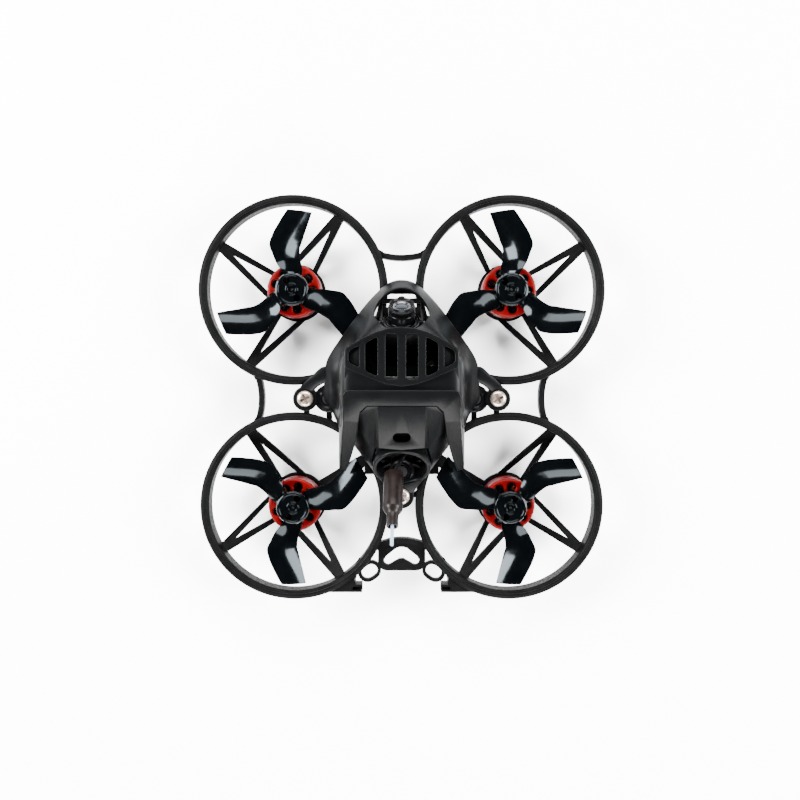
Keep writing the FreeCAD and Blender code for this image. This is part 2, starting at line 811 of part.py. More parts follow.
def make_stator(corner, x, y):
    """The laminated core with nine teeth, and a copper coil round each tooth."""
    yoke = spun("yoke_" + corner, ring_section(size("TubeOuter"), size("StatorYoke"), size("StatorBottom"),
                                               size("StatorBottom + StatorHeight")), x, y)
    teeth = [yoke]
    coils = []
    for i in range(TEETH):
        angle = 360.0 * i / TEETH + 20
        teeth.append(turned_box("tooth_%s_%d" % (corner, i),
                                "StatorRadius - StatorYoke - ToothTipThick / 2 + 0.2",
                                "ToothWidth", "StatorHeight", "StatorYoke - 0.2", angle, x, y,
                                "StatorBottom"))
        teeth.append(turned_box("tip_%s_%d" % (corner, i), "ToothTipThick", "ToothTipWidth", "StatorHeight",
                                "StatorRadius - ToothTipThick - 0.18", angle, x, y, "StatorBottom"))
        wound = turned_box("wound_%s_%d" % (corner, i), "StatorRadius - StatorYoke - ToothTipThick - 0.45",
                           "CoilWidth", "CoilHeight", "StatorYoke + 0.12", angle, x, y,
                           "StatorBottom + StatorHeight / 2 - CoilHeight / 2")
        core = turned_box("core_%s_%d" % (corner, i), "StatorRadius", "ToothWidth + 0.04",
                          "StatorHeight + 0.04",
                          "1", angle, x, y, "StatorBottom - 0.02")
        coils.append(cut("coil_%s_%d" % (corner, i), wound, core))
    finished(fuse("stator_teeth_" + corner, teeth), "stator_core_" + corner)
    apart = doc.addObject("Part::Compound", "coil_group_" + corner)
    apart.Links = coils
    finished(apart, "windings_" + corner)


WINDOWS = 9


def make_bell(corner, x, y):
    """The turned bell: a thin skirt, a top with nine rounded windows and a hub for the shaft."""
    outer = size("MotorRadius")
    inner = size("MotorRadius - BellWall")
    bottom, top = size("BellBottom"), size("BellTop")
    under = size("BellTop - BellTopThick")
    shaft = size("ShaftRadius")
    hub = size("BellHubRadius")
    edge = 0.35
    profile = [(shaft, top), (shaft, under - 0.5), (hub - 0.6, under - 0.5), (hub - 0.6, under)]
    profile += [(inner, under), (inner, bottom), (outer, bottom), (outer, top - edge), (outer - edge, top)]
    whole = spun("bell_turned_" + corner, profile, x, y)
    tools = []
    rounds = (("WindowInnerPlace", "WindowInnerRadius"), ("WindowOuterPlace", "WindowOuterRadius"))
    for i in range(WINDOWS):
        angle = 360.0 * i / WINDOWS
        dx, dy = polar(1.0, angle)
        for step, (place, radius) in enumerate(rounds):
            tools.append(cylinder("window_%s_%d_%d" % (corner, i, step), radius, "BellTopThick + 1",
                                  "%s + %.6f * %s" % (x, dx, place), "%s + %.6f * %s" % (y, dy, place),
                                  "BellTop - BellTopThick - 0.5"))
    windows = fuse("bell_windows_" + corner, tools)
    finished(cut("bell_cut_" + corner, whole, windows), "motor_bell_" + corner)


def make_rotor_inside(corner, x, y):
    """The ring of magnets, and the shaft with the clip under the lower bearing that keeps it in."""
    inner = size("MotorRadius - BellWall - MagnetThick")
    outer = size("MotorRadius - BellWall")
    low = size("MagnetBottom")
    finished(spun("magnets_" + corner, ring_section(inner, outer, low, low + size("MagnetHeight")), x, y),
             "magnet_ring_" + corner)
    rod = cylinder("shaft_" + corner, "ShaftRadius", "ShaftTop - ShaftBottom", x, y, "ShaftBottom")
    clip = cylinder("clip_" + corner, "CircRadius", "CircThick", x, y,
                    "PadBottom + PadThick - CircThick - 0.15")
    finished(fuse("shaft_clipped_" + corner, [rod, clip]), "motor_shaft_" + corner)


# Blade stations: distance from the axis, and the angles of its two edges from the tip's middle.
BLADE = [(3.0, -24, 33), (4.9, -21.3, 34.5), (7.4, -8.5, 36), (10, -3.5, 34), (12.1, -5, 32.3),
         (14, -6.2, 25.7), (16.6, -7.6, 16.5), (19.5, -8.6, 8.7)]


def blade_section(radius, trailing, leading, sense, phase, centre):
    """One cambered slice of a blade as a closed wire."""
    thick = size("BladeThick") * (1.25 - 0.5 * radius / size("PropRadius"))
    edge = size("BladeEdge")
    slope = math.atan(size("BladePitch") / (2 * math.pi * max(radius, 5.5)))
    chord = radius * 2 * math.sin(math.radians((leading - trailing) / 2))
    rise = chord * math.sin(slope)
    middle = size("BladeMiddle") + (0.45 if radius < 6 else 0.0)
    start = polar(radius, phase + sense * trailing, centre)
    end = polar(radius, phase + sense * leading, centre)
    top, bottom = [], []
    for share in (0.0, 0.12, 0.35, 0.65, 0.88, 1.0):
        full = 4 * share * (1 - share)
        x = start[0] + (end[0] - start[0]) * share
        y = start[1] + (end[1] - start[1]) * share
        z = middle - rise / 2 + rise * share + full * chord * 0.07
        half = (edge + (thick - edge) * full) / 2
        top.append(FreeCAD.Vector(x, y, z + half))
        bottom.append(FreeCAD.Vector(x, y, z - half))
    return Part.makePolygon(top + bottom[::-1] + [top[0]])


def make_propeller(corner, side, front, sense, phase):
    """A hub pressed on the shaft, with three swept and twisted blades."""
    x, y = corner_text(side), corner_text(front)
    centre = corner_place(side, front)
    hub = cylinder("hub_" + corner, "HubRadius", "HubHeight", x, y, "BellTop")
    blades = doc.addObject("Part::Feature", "blades_" + corner)
    made = []
    for i in range(3):
        wires = [blade_section(r, a, b, sense, phase + 120 * i, centre) for r, a, b in BLADE]
        made.append(Part.makeLoft(wires, True, True))
    blades.Shape = Part.makeCompound(made)
    keep = cylinder("prop_limit_" + corner, "PropRadius", "DuctTop", x, y, "BellTop + 0.05")
    trimmed = common("blades_trimmed_" + corner, blades, keep)
    whole = fuse("prop_whole_" + corner, [hub, trimmed])
    tools = [cylinder("prop_bore_" + corner, "ShaftRadius", "HubHeight + 2", x, y, "BellTop - 1")]
    for sign in (-1, 1):
        dx, dy = polar(1.0, phase + 35)
        tools.append(cylinder("prop_hole_%s_%d" % (corner, sign + 1), "HubHoleRadius", "HubHeight + 2",
                              "%s + %.6f * HubHolePitch" % (x, sign * dx),
                              "%s + %.6f * HubHolePitch" % (y, sign * dy), "BellTop - 1"))
    finished(cut("prop_cut_" + corner, whole, fuse("prop_tools_" + corner, tools)), "propeller_" + corner)


def make_mount_screws():
    """Three screws up through each motor pad."""
    made = []
    for corner, side, front, sense, phase in CORNERS:
        x, y = corner_text(side), corner_text(front)
        for turn in (0, 120, 240):
            dx, dy = polar(1.0, turn + 90)
            sx = "%s + %.6f * PadHolePitch" % (x, dx)
            sy = "%s + %.6f * PadHolePitch" % (y, dy)
            shank = cylinder("mount_shank_%s_%d" % (corner, turn), "ScrewRadius",
                             "PadThick + BaseThick", sx, sy, "PadBottom")
            head = cylinder("mount_head_%s_%d" % (corner, turn), "ScrewHeadRadius - 0.1",
                            "ScrewHeadHeight - 0.1",
                            sx, sy, "PadBottom - ScrewHeadHeight + 0.1")
            made.append(fuse("mount_screw_%s_%d" % (corner, turn), [shank, head]))
    finished(group("mount_screw_group", made), "motor_mount_screws")


def make_motors():
    for corner, side, front, sense, phase in CORNERS:
        x, y = corner_text(side), corner_text(front)
        make_motor_base(corner, x, y)
        make_stator(corner, x, y)
        make_bell(corner, x, y)
        make_rotor_inside(corner, x, y)
        make_propeller(corner, side, front, sense, phase)
    make_bearings()
    make_mount_screws()


# ---------------------------------------------------------------- flight controller

FC_PLACES = (("left", "-FcHole", "0"), ("right", "FcHole", "0"), ("front", "0", "FcHole"),
             ("rear", "0", "-FcHole"))
BOARD_BOTTOM = "SeatTop + GrommetFlangeThick"
BOARD_TOP = "SeatTop + GrommetFlangeThick + BoardThick"


def turned_block(name, across, along, width, depth, height, z):
    """A box on the board, which is turned 45 degrees: across and along are in the board's own directions."""
    item = doc.addObject("Part::Box", name)
    item.Length, item.Width = width, depth
    bind(item, Height=height)
    turned(item, UP, 45)
    c = math.cos(math.radians(45))
    left, near = across - width / 2, along - depth / 2
    item.Placement = FreeCAD.Placement(FreeCAD.Vector((left - near) * c, (left + near) * c, 0),
                                       FreeCAD.Rotation(UP, 45))
    bind(item, Placement__Base__z=z)
    return item


def make_board():
    half = size("BoardHalf")
    corner = half * math.sqrt(2)
    square = plate("board_square", [(corner, 0), (0, corner), (-corner, 0), (0, -corner)], BOARD_BOTTOM,
                   "BoardThick")
    solids, holes = [square], []
    for name, x, y in FC_PLACES:
        solids.append(cylinder("board_lobe_" + name, "BoardLobe", "BoardThick", x, y, BOARD_BOTTOM))
        holes.append(cylinder("board_hole_" + name, "BoardHoleRadius", "BoardThick + 2", x, y,
                              BOARD_BOTTOM + " - 1"))
    finished(cut("board_cut", fuse("board_whole", solids), fuse("board_holes", holes)), "fc_board")


def make_grommets():
    grommets, screws = [], []
    low = size("SeatTop")
    under = size(BOARD_BOTTOM)
    over = size(BOARD_TOP)
    top = over + size("GrommetFlangeThick")
    bore, neck, flange = size("GrommetBore"), size("BoardHoleRadius - GrommetGap"), size("GrommetFlange")
    ridge = flange - 0.85
    for name, x, y in FC_PLACES:
        profile = [(bore, low), (flange - 0.5, low), (flange - 0.5, under), (neck, under), (neck, over),
                   (flange, over), (flange, top - 0.25), (flange - 0.25, top), (ridge, top),
                   (ridge - 0.2, top - 0.3),
                   (bore, top - 0.3)]
        grommets.append(spun("grommet_" + name, profile, x, y))
        shank = cylinder("fc_shank_" + name, "ScrewRadius", "BoardThick + 2 * GrommetFlangeThick + 1.7",
                         x, y,
                         "SeatTop - 2")
        head = cylinder("fc_head_" + name, "ScrewHeadRadius", "ScrewHeadHeight", x, y,
                        BOARD_TOP + " + GrommetFlangeThick - 0.3")
        screws.append(fuse("fc_screw_" + name, [shank, head]))
    finished(group("grommet_group", grommets), "fc_grommets")
    finished(group("fc_screw_group", screws), "fc_screws")


def make_board_parts():
    """Chips on both faces, the sockets, and the boot button in its housing."""
    chips = [turned_block("chip_main", -1.5, 1, 7, 7, "0.9", BOARD_TOP),
             turned_block("chip_gyro", 6.5, 3.5, 3, 2.6, "0.8", BOARD_TOP),
             turned_block("chip_screen", -1, -6.6, 5, 3.4, "1", BOARD_TOP),
             turned_block("chip_radio", 3, 7.2, 4, 4, "0.8", BOARD_TOP)]
    for i in (-1, 0, 1):
        chips.append(turned_block("chip_driver_%d" % (i + 1), 3.4 * i, 11, 2.7, 2.7, "0.8", BOARD_TOP))
        chips.append(turned_block("chip_power_%d" % (i + 1), 3.4 * i, -11, 2.7, 2.7, "0.8", BOARD_TOP))
    finished(group("chip_group", chips), "fc_chips")
    shell = turned_block("usb_shell", -10.6, 0.5, 5.2, 7, "2.4", BOARD_TOP)
    hollow = turned_block("usb_hollow", -11.4, 0.5, 5.2, 6, "1.6", BOARD_TOP + " + 0.4")
    finished(cut("usb_cut", shell, hollow), "usb_socket")
    wall = turned_block("button_wall", 10.6, 0, 2.6, 3.2, "1.1", BOARD_TOP)
    well = cylinder("button_well", "ButtonRadius + ButtonGap", "2", "ButtonPlace", "ButtonPlace",
                    BOARD_TOP + " + 0.35")
    finished(cut("button_housing_cut", wall, well), "boot_button_housing")
    finished(cylinder("button_pin", "ButtonRadius", "0.95", "ButtonPlace", "ButtonPlace",
                      BOARD_TOP + " + 0.4 + ButtonTravel"), "boot_button")
    plugs = []
    for side, hand in (("left", "0 - "), ("right", "")):
        for end, along in (("front", "PlugFront"), ("rear", "0 - PlugRear")):
            plugs.append(block("plug_%s_%s" % (end, side), "PlugAcross", "PlugDeep", "PlugHeight",
                               hand + "PlugSide", along, BOARD_TOP))
    finished(group("plug_group", plugs), "motor_plugs")


def make_vtx():
    """The video transmitter board on two posts, its shield can and the antenna's connector."""
    posts = []
    for sign in (-1, 1):
        posts.append(cylinder("vtx_post_%d" % (sign + 1), "1.1",
                              "VtxBottom - SeatTop - GrommetFlangeThick - BoardThick",
                              "%d * (VtxHalf - 1.4)" % sign, "VtxShift", BOARD_TOP))
    finished(group("vtx_post_group", posts), "vtx_posts")
    finished(block("vtx_plate", "2 * VtxHalf", "2 * VtxHalf", "VtxThick", "0", "VtxShift", "VtxBottom"),
             "vtx_board")
    can = block("shield_outer", "2 * ShieldHalf", "2 * ShieldHalf", "ShieldHeight", "0", "VtxShift",
                "VtxBottom + VtxThick")
    room = block("shield_room", "2 * ShieldHalf - 0.5", "2 * ShieldHalf - 0.5", "ShieldHeight - 0.25", "0",
                 "VtxShift", "VtxBottom + VtxThick")
    finished(cut("shield_cut", can, room), "vtx_shield")
    finished(cylinder("connector_body", "ConnectorRadius", "ConnectorHeight", "ConnectorSide",
                      "VtxShift - VtxHalf + ConnectorInset",
                      "VtxBottom + VtxThick"), "antenna_connector")


# ---------------------------------------------------------------- camera

def tilted(item):
    """Turns a camera piece, built pointing to the front about the pivot, up to the camera's angle."""
    holder = FreeCAD.Rotation(ACROSS, size("CameraTilt"))
    pivot = FreeCAD.Vector(0, size("CameraPivotForward"), size("CameraPivotUp"))
    item.Placement = FreeCAD.Placement(pivot, holder).multiply(item.Placement)
    return item


def camera_box(name, width, back, front, half_height):
    item = doc.addObject("Part::Box", name)
    bind(item, Length="2 * (%s)" % width, Width="(%s) + (%s)" % (back, front),
         Height="2 * (%s)" % half_height)
    item.Placement.Base = FreeCAD.Vector(-size(width), -size(back), -size(half_height))
    return tilted(item)


def camera_round(name, radius, start, length):
    item = doc.addObject("Part::Cylinder", name)
    bind(item, Radius=radius, Height=length)
    item.Placement = FreeCAD.Placement(FreeCAD.Vector(0, size(start), 0), FreeCAD.Rotation(ACROSS, -90))
    return tilted(item)


def make_camera():
    body = camera_box("camera_block", "CameraHalfWidth", "CameraBack", "CameraFront", "CameraHalfHeight")
    ring = camera_round("camera_ring", "LensRingRadius", "CameraFront", "LensRingLength")
    seat = camera_round("camera_seat", "LensRadius", "CameraFront - 1.2", "LensRingLength + 3")
    eye = camera_round("camera_eye", "LensBore", "0 - CameraBack - 1", "CameraBack + CameraFront + 2")
    pivot = doc.addObject("Part::Cylinder", "camera_pivot")
    bind(pivot, Radius="PivotRadius", Height="2 * CameraHalfWidth + 2")
    pivot.Placement = FreeCAD.Placement(FreeCAD.Vector(-size("CameraHalfWidth") - 1,
                                                       size("CameraPivotForward"),
                                                       size("CameraPivotUp")),
                                                       FreeCAD.Rotation(FreeCAD.Vector(0, 1, 0), 90))
    shell = fuse("camera_shell", [body, ring])
    finished(cut("camera_cut", shell, fuse("camera_tools", [seat, eye, pivot])), "camera_housing")
    board = camera_box("sensor_plate", "CameraHalfWidth - 0.3", "CameraBack + CameraBoardThick",
                       "0 - CameraBack",
                       "CameraHalfHeight - 0.2")
    finished(board, "camera_board")
    tube = camera_round("lens_tube", "LensRadius", "CameraFront - 1.2", "LensLength + 1.2")
    rim = camera_round("lens_rim", "LensRadius - 0.3", "CameraFront + LensLength", "0.8")
    bore = camera_round("lens_bore", "LensBore", "CameraFront - 2", "LensLength + 5")
    finished(cut("lens_cut", fuse("lens_whole", [tube, rim]), bore), "lens_barrel")
    finished(camera_round("lens_disc", "LensBore", "CameraFront + LensLength - 0.9", "LensGlassThick"),
             "lens_glass")
    make_bracket()


def make_bracket():
    """The cradle: two cheeks with the pivot holes, a floor bar, and a front cross-bar."""
    inner = size("CameraHalfWidth + BracketGap")
    outer = inner + size("BracketPlate")
    forward, up = size("CameraPivotForward"), size("CameraPivotUp")
    solids = []
    for sign in (-1, 1):
        sketch = doc.addObject("Sketcher::SketchObject", "cheek_outline_%d" % (sign + 1))
        foot = up - size("CradleDrop")
        draw_outline(sketch, [(forward - 3.3, foot), (forward + 7.8, foot), (forward + 7.8, up - 3.4),
                              (forward + 2.2, up - 2.0), (forward + 1.8, up + 2.0),
                              (forward - 1.8, up + 2.0),
                              (forward - 3.3, up - 2)])
        across = sign * (inner + outer) / 2 - size("BracketPlate / 2")
        sketch.Placement = FreeCAD.Placement(FreeCAD.Vector(across, 0, 0),
                                             FreeCAD.Rotation(0.5, 0.5, 0.5, 0.5))
        cheek = doc.addObject("Part::Extrusion", "cheek_%d" % (sign + 1))
        cheek.Base = sketch
        cheek.DirMode = "Custom"
        cheek.Dir = ACROSS
        cheek.Solid = True
        bind(cheek, LengthFwd="BracketPlate")
        solids.append(cheek)
    for name, y, deep in (("floor", "-2.7", "CradleBar"), ("shelf", "4", "CradleShelf"),
                          ("front", "7.2", "CradleBar")):
        solids.append(block("bracket_bar_" + name, "2 * (CameraHalfWidth + BracketGap + BracketPlate)",
                            deep,
                            "CradleThick", "0", "CameraPivotForward + " + y, "CameraPivotUp - CradleDrop"))
    solids.append(cylinder("bracket_nub", "CradleBar / 2 + 0.5", "CradleThick", "0",
                           "CameraPivotForward + 7.3",
                           "CameraPivotUp - CradleDrop"))
    for sign in (-1, 1):
        solids.append(block("bracket_foot_%d" % (sign + 1), "BracketPlate", "1.2",
                            "CameraPivotUp - 4 - SeatTop - GrommetFlangeThick - BoardThick",
                            "%d * (CameraHalfWidth + BracketGap + BracketPlate / 2)" % sign,
                            "CameraPivotForward - 2.7", BOARD_TOP))
    hole = doc.addObject("Part::Cylinder", "bracket_hole")
    bind(hole, Radius="PivotRadius + RunningGap", Height="2 * CameraHalfWidth + 8")
    hole.Placement = FreeCAD.Placement(FreeCAD.Vector(-size("CameraHalfWidth") - 4, forward, up),
                                       FreeCAD.Rotation(FreeCAD.Vector(0, 1, 0), 90))
    finished(cut("bracket_cut", fuse("bracket_whole", solids), hole), "camera_bracket")
    screws = []
    for sign in (-1, 1):
        start = size("CameraHalfWidth - 1")
        reach = outer + 0.1 - start
        shank = doc.addObject("Part::Cylinder", "tilt_shank_%d" % (sign + 1))
        head = doc.addObject("Part::Cylinder", "tilt_head_%d" % (sign + 1))
        bind(shank, Radius="PivotRadius")
        shank.Height = reach
        head.Radius, head.Height = size("PivotRadius") * 1.7, 0.5
        way = FreeCAD.Rotation(FreeCAD.Vector(0, 1, 0), 90 * sign)
        shank.Placement = FreeCAD.Placement(FreeCAD.Vector(sign * start, forward, up), way)
        head.Placement = FreeCAD.Placement(FreeCAD.Vector(sign * (start + reach), forward, up), way)
        screws.append(fuse("tilt_screw_%d" % (sign + 1), [shank, head]))
    finished(group("tilt_screw_group", screws), "camera_tilt_screws")


# ---------------------------------------------------------------- canopy and antenna

def along_antenna(item, x, forward, up, lean=0.0):
    """Points an upright solid backwards and up along the antenna's slope."""
    tilt = FreeCAD.Rotation(ACROSS, 90 - size("AntennaSlope"))
    side = FreeCAD.Rotation(UP, -lean)
    item.Placement = FreeCAD.Placement(FreeCAD.Vector(x, forward, up), side.multiply(tilt))
    return item


def canopy_tube(name, radius, start, length):
    item = doc.addObject("Part::Cylinder", name)
    bind(item, Radius=radius, Height=length)
    slope = math.radians(size("AntennaSlope"))
    back = size("MouthBack") + start * math.cos(slope)
    up = size("MouthUp") + start * math.sin(slope)
    return along_antenna(item, 0, -back, up)


def hollow_loft(name, low, high, bottom, top):
    """A tapered shell between two outlines, open below."""
    wall = size("CanopyWall")
    outer = loft(name + "_outer", [outline(name + "_low", low, bottom), outline(name + "_high", high, top)])
    inner = loft(name + "_inner", [outline(name + "_low_in", inset(low, wall), bottom + " - 0.01"),
                                   outline(name + "_high_in", inset(high, wall), top + " - CanopyWall")])
    return outer, inner


FRONT_LOW = [(2.6, 29), (5.6, 26.6), (9.3, 22.2), (14.2, 15.3), (18.6, 9.4), (18.9, 7.2), (15.9, 3.4),
             (15.7, 0)]
FRONT_HIGH = [(2.6, 17.6), (4.6, 17.0), (7.6, 15.2), (11, 13.6), (12.9, 12.3), (13.2, 8.0), (13.2, 3.4),
              (13.0, 0)]
REAR_LOW = [(15.7, 3.0), (15.7, -4.5), (11.4, -11.5), (7.4, -17.0), (4.0, -21.6)]
REAR_HIGH = [(13.2, 3.0), (12.6, 0.4), (7.2, -4.0), (5.6, -8.5), (4.0, -11.6)]


CANOPY_TABS = (("left", "-BossSide", "0"), ("right", "BossSide", "0"), ("rear", "0", "-BossRear"))


def nose_aperture():
    """The round opening for the camera, square to the sloping nose."""
    aperture = doc.addObject("Part::Cylinder", "aperture")
    bind(aperture, Radius="ApertureRadius", Height="8")
    normal = FreeCAD.Rotation(ACROSS, -size("NoseSlope"))
    start = normal.multVec(FreeCAD.Vector(0, 0, -4))
    middle = FreeCAD.Vector(0, size("ApertureAcross"), size("ApertureUp"))
    aperture.Placement = FreeCAD.Placement(middle + start, normal)
    return aperture


# One vent slot: its near and far edges across, then its rear and front ends at each of those edges.
# The outermost pair are blind pockets, and the others go through.
VENTS = [(1.0, 3.75, 5.0, 15.5, 5.0, 15.5), (5.6, 8.4, 5.6, 14.8, 6.9, 13.4),
         (9.8, 12.3, 7.6, 12.8, 8.9, 11.6)]


def vent_slots():
    made = []
    for i, (near, far, near_rear, near_front, far_rear, far_front) in enumerate(VENTS):
        low = "CanopyTop - 0.5" if i == len(VENTS) - 1 else "CanopyTop - 3"
        for sign in (-1, 1):
            corners = [(sign * near, near_rear), (sign * far, far_rear),
                       (sign * far, far_front), (sign * near, near_front)]
            made.append(plate("vent_%d_%d" % (i, sign + 1), corners, low, "6"))
    return made


def canopy_leg(sign):
    """The wall that runs back from the roof on each side, above the rear propeller."""
    low, top = size("SkirtBottom"), size("CanopyTop")
    front, rear = -size("LegFront"), -size("LegRear")
    leg = doc.addObject("Sketcher::SketchObject", "leg_outline_%d" % (sign + 1))
    draw_outline(leg,
                 [(front, low), (front, top - 2.5), (front - 3.5, top - 5.5), (rear + 0.2, low + 0.9),
                  (rear, low)])
    upright = FreeCAD.Rotation(0.5, 0.5, 0.5, 0.5)
    half = size("LegThick / 2")
    leg.Placement = FreeCAD.Placement(FreeCAD.Vector(sign * (size("LegAcross") + half) - half, 0, 0),
                                      upright)
    wall = doc.addObject("Part::Extrusion", "leg_%d" % (sign + 1))
    wall.Base = leg
    wall.DirMode = "Custom"
    wall.Dir = ACROSS
    wall.Solid = True
    bind(wall, LengthFwd="LegThick")
    return wall


def canopy_foot(sign):
    """The tab of a side boss and the web that carries it up over the duct to the dome."""
    side = size("BossSide")
    foot = [(side - 2.4, -1.4), (side - 1.6, 3.1), (side + 0.9, 3.1), (side + 2.2, 1.4), (side, 0)]
    web = [(14.9, 3.2), (16.0, 8.6), (18.8, 7.6), (side + 0.4, 3.1), (side - 1.4, 2.25), (19.6, 5.6),
           (17.4, 5.2)]
    low = plate("tab_foot_%d" % (sign + 1), [(sign * x, y) for x, y in foot], "BossTop", "CanopyTabThick")
    high = plate("tab_web_%d" % (sign + 1), [(sign * x, y) for x, y in web], "BossTop + CanopyTabThick",
                 "SkirtBottom - BossTop - CanopyTabThick + 0.6")
    return [low, high]


def holder_slope():
    """Everything above the antenna holder's roof, which falls gently to the rear."""
    item = doc.addObject("Part::Box", "holder_slope")
    item.Length, item.Width, item.Height = 40, 30, 10
    fall = FreeCAD.Rotation(ACROSS, size("HolderFall"))
    start = FreeCAD.Vector(0, -1.3, size("CanopyTop - 1"))
    item.Placement = FreeCAD.Placement(start + fall.multVec(FreeCAD.Vector(-20, -30, 0)), fall)
    return item


def nose_shelf():
    """The flange that closes the foot of the nose in front of the camera."""
    back = size("NoseShelf")
    right = [(2.4, back + 2.45), (5.8, back)]
    return plate("nose_shelf", mirrored(right), "SkirtBottom", "NoseShelfThick")


def make_canopy():
    front_outer, front_inner = hollow_loft("dome", mirrored(FRONT_LOW), mirrored(FRONT_HIGH),
                                           "SkirtBottom", "CanopyTop")
    rear_outer, rear_inner = hollow_loft("tail", mirrored(REAR_LOW), mirrored(REAR_HIGH),
                                         "TailBottom", "CanopyTop - 1")
    slope = holder_slope()
    lower = holder_slope()
    lower.Placement = FreeCAD.Placement(FreeCAD.Vector(0, 0, -size("CanopyWall")),
                                        FreeCAD.Rotation()).multiply(
        slope.Placement)
    tail_outside = cut("tail_outside", rear_outer, slope)
    tail_inside = cut("tail_inside", rear_inner, lower)
    port = plate("tail_port",
                 obround((0.0, -size("PortBack")), size("PortHalfLength"), size("PortHalfWidth"), 0),
                 "CanopyTop - 5", "8")
    room = fuse("canopy_room", [front_inner, tail_inside, nose_aperture(), port] + vent_slots())
    shell = cut("canopy_shell", fuse("canopy_solid", [front_outer, tail_outside]), room)
    tube = canopy_tube("tube_outer", "AntennaTubeOuter", -size("AntennaTubeLength"), "AntennaTubeLength")
    below = block("tube_below", "40", "60", "20", "0", "-20", "TailBottom - 20")
    bore = canopy_tube("tube_inner", "AntennaTubeOuter - AntennaTubeWall", -size("AntennaTubeLength") - 1,
                       "AntennaTubeLength + 5")
    holder = cut("canopy_holder", fuse("canopy_tubed", [shell, cut("tube_trimmed", tube, below)]), bore)
    solids = [holder, nose_shelf()]
    for sign in (-1, 1):
        solids += canopy_foot(sign)
        solids.append(canopy_leg(sign))
    solids.append(plate("rear_web", mirrored([(3.9, -20.4), (4.1, -21.2), (2.75, -23.6), (2.2, -24.2)]),
                        "BossTop + 0.85", "CanopyTabThick"))
    tools = [grommet_room("canopy_room_" + name, x, y) for name, x, y in FC_PLACES]
    for name, x, y in CANOPY_TABS:
        solids.append(cylinder("canopy_tab_" + name, "CanopyTabRadius", "CanopyTabThick", x, y, "BossTop"))
        tools.append(cylinder("canopy_tab_hole_" + name, "ScrewRadius + 0.15", "4", x, y, "BossTop - 1"))
        tools.append(cylinder("canopy_head_room_" + name, "CanopyScrewHead + 0.1", "4", x, y,
                              "BossTop + CanopyTabThick"))
    finished(cut("canopy_cut", fuse("canopy_whole", solids), fuse("canopy_tools", tools)), "canopy")
    screws = []
    for name, x, y in CANOPY_TABS:
        shank = cylinder("canopy_shank_" + name, "ScrewRadius", "CanopyScrewLength", x, y,
                         "BossTop + CanopyTabThick - CanopyScrewLength")
        head = cylinder("canopy_head_" + name, "CanopyScrewHead", "CanopyScrewHeadHeight", x, y,
                        "BossTop + CanopyTabThick")
        screws.append(fuse("canopy_screw_" + name, [shank, head]))
    finished(group("canopy_screw_group", screws), "canopy_screws")


def make_antenna():
    """A shrink sleeve that narrows to an open end, with the bare whisker standing out of it."""
    lean = size("SleeveLean")
    slope = math.radians(size("AntennaSlope"))
    start = size("SleeveStart")
    base = FreeCAD.Vector(size("SleeveSide"), -size("MouthBack") - start * math.cos(slope),
                          size("MouthUp") + start * math.sin(slope))

    def station(distance):
        way = FreeCAD.Vector(-math.cos(slope) * math.sin(math.radians(lean)),
                             -math.cos(slope) * math.cos(math.radians(lean)), math.sin(slope))
        return base + way * distance

    def put_on_line(item, distance):
        at = station(distance)
        return along_antenna(item, at.x, at.y, at.z, lean)

    thick = size("SleeveLength - SleeveTipLength")
    tube = doc.addObject("Part::Cylinder", "sleeve_tube")
    bind(tube, Radius="SleeveRadius", Height="SleeveLength - SleeveTipLength")
    cone = doc.addObject("Part::Cone", "sleeve_cone")
    bind(cone, Radius1="SleeveRadius", Radius2="SleeveTipRadius", Height="SleeveTaper")
    tip = doc.addObject("Part::Cylinder", "sleeve_tip")
    bind(tip, Radius="SleeveTipRadius", Height="SleeveTipLength")
    bore = doc.addObject("Part::Cylinder", "sleeve_bore")
    bind(bore, Radius="SleeveTipRadius - 0.4", Height="WhiskerInside + 1")
    inner = size("SleeveLength + SleeveTaper - WhiskerInside")
    put_on_line(tube, 0)
    put_on_line(cone, thick)
    put_on_line(tip, thick + size("SleeveTaper"))
    put_on_line(bore, inner)
    finished(cut("sleeve_cut", fuse("sleeve_whole", [tube, cone, tip]), bore), "antenna_sleeve")
    whisker = doc.addObject("Part::Cylinder", "whisker_rod")
    bind(whisker, Radius="WhiskerRadius", Height="WhiskerShown + WhiskerInside")
    put_on_line(whisker, inner)
    finished(whisker, "antenna_whisker")
    make_feed(station(-size("FeedShort")))


def make_feed(end):
    """The thin cable from the transmitter's connector to the foot of the sleeve."""
    core = FreeCAD.Vector(size("ConnectorSide"), size("VtxShift - VtxHalf + ConnectorInset"),
                          size("FeedUp"))
    level = FreeCAD.Vector(end.x - core.x, end.y - core.y, 0)
    start = core + level.normalize() * size("ConnectorRadius + FeedShort / 2")
    feed = doc.addObject("Part::Cylinder", "feed_cable")
    bind(feed, Radius="FeedRadius")
    run = end - start
    feed.Height = run.Length
    feed.Placement = FreeCAD.Placement(start, FreeCAD.Rotation(UP, run))
    finished(feed, "antenna_feed")


# ---------------------------------------------------------------- build and write

def check(items):
    for item in doc.Objects:
        if "Invalid" in item.State or "Error" in item.State:
            raise RuntimeError("%s did not compute: %s" % (item.Name, item.State))
    for item in items:
        if item.Shape.isNull() or not item.Shape.isValid() or not item.Shape.Solids:
            raise RuntimeError("%s has no valid shape" % item.Label)


def write(items):
    os.makedirs("parts", exist_ok=True)
    for item in items:
        item.Shape.exportStep(os.path.join("parts", item.Label + ".step"))
        box = item.Shape.BoundBox
        print("%-28s %2d solids %9.2f mm3  z %.2f to %.2f"
              % (item.Label, len(item.Shape.Solids), item.Shape.Volume, box.ZMin, box.ZMax))


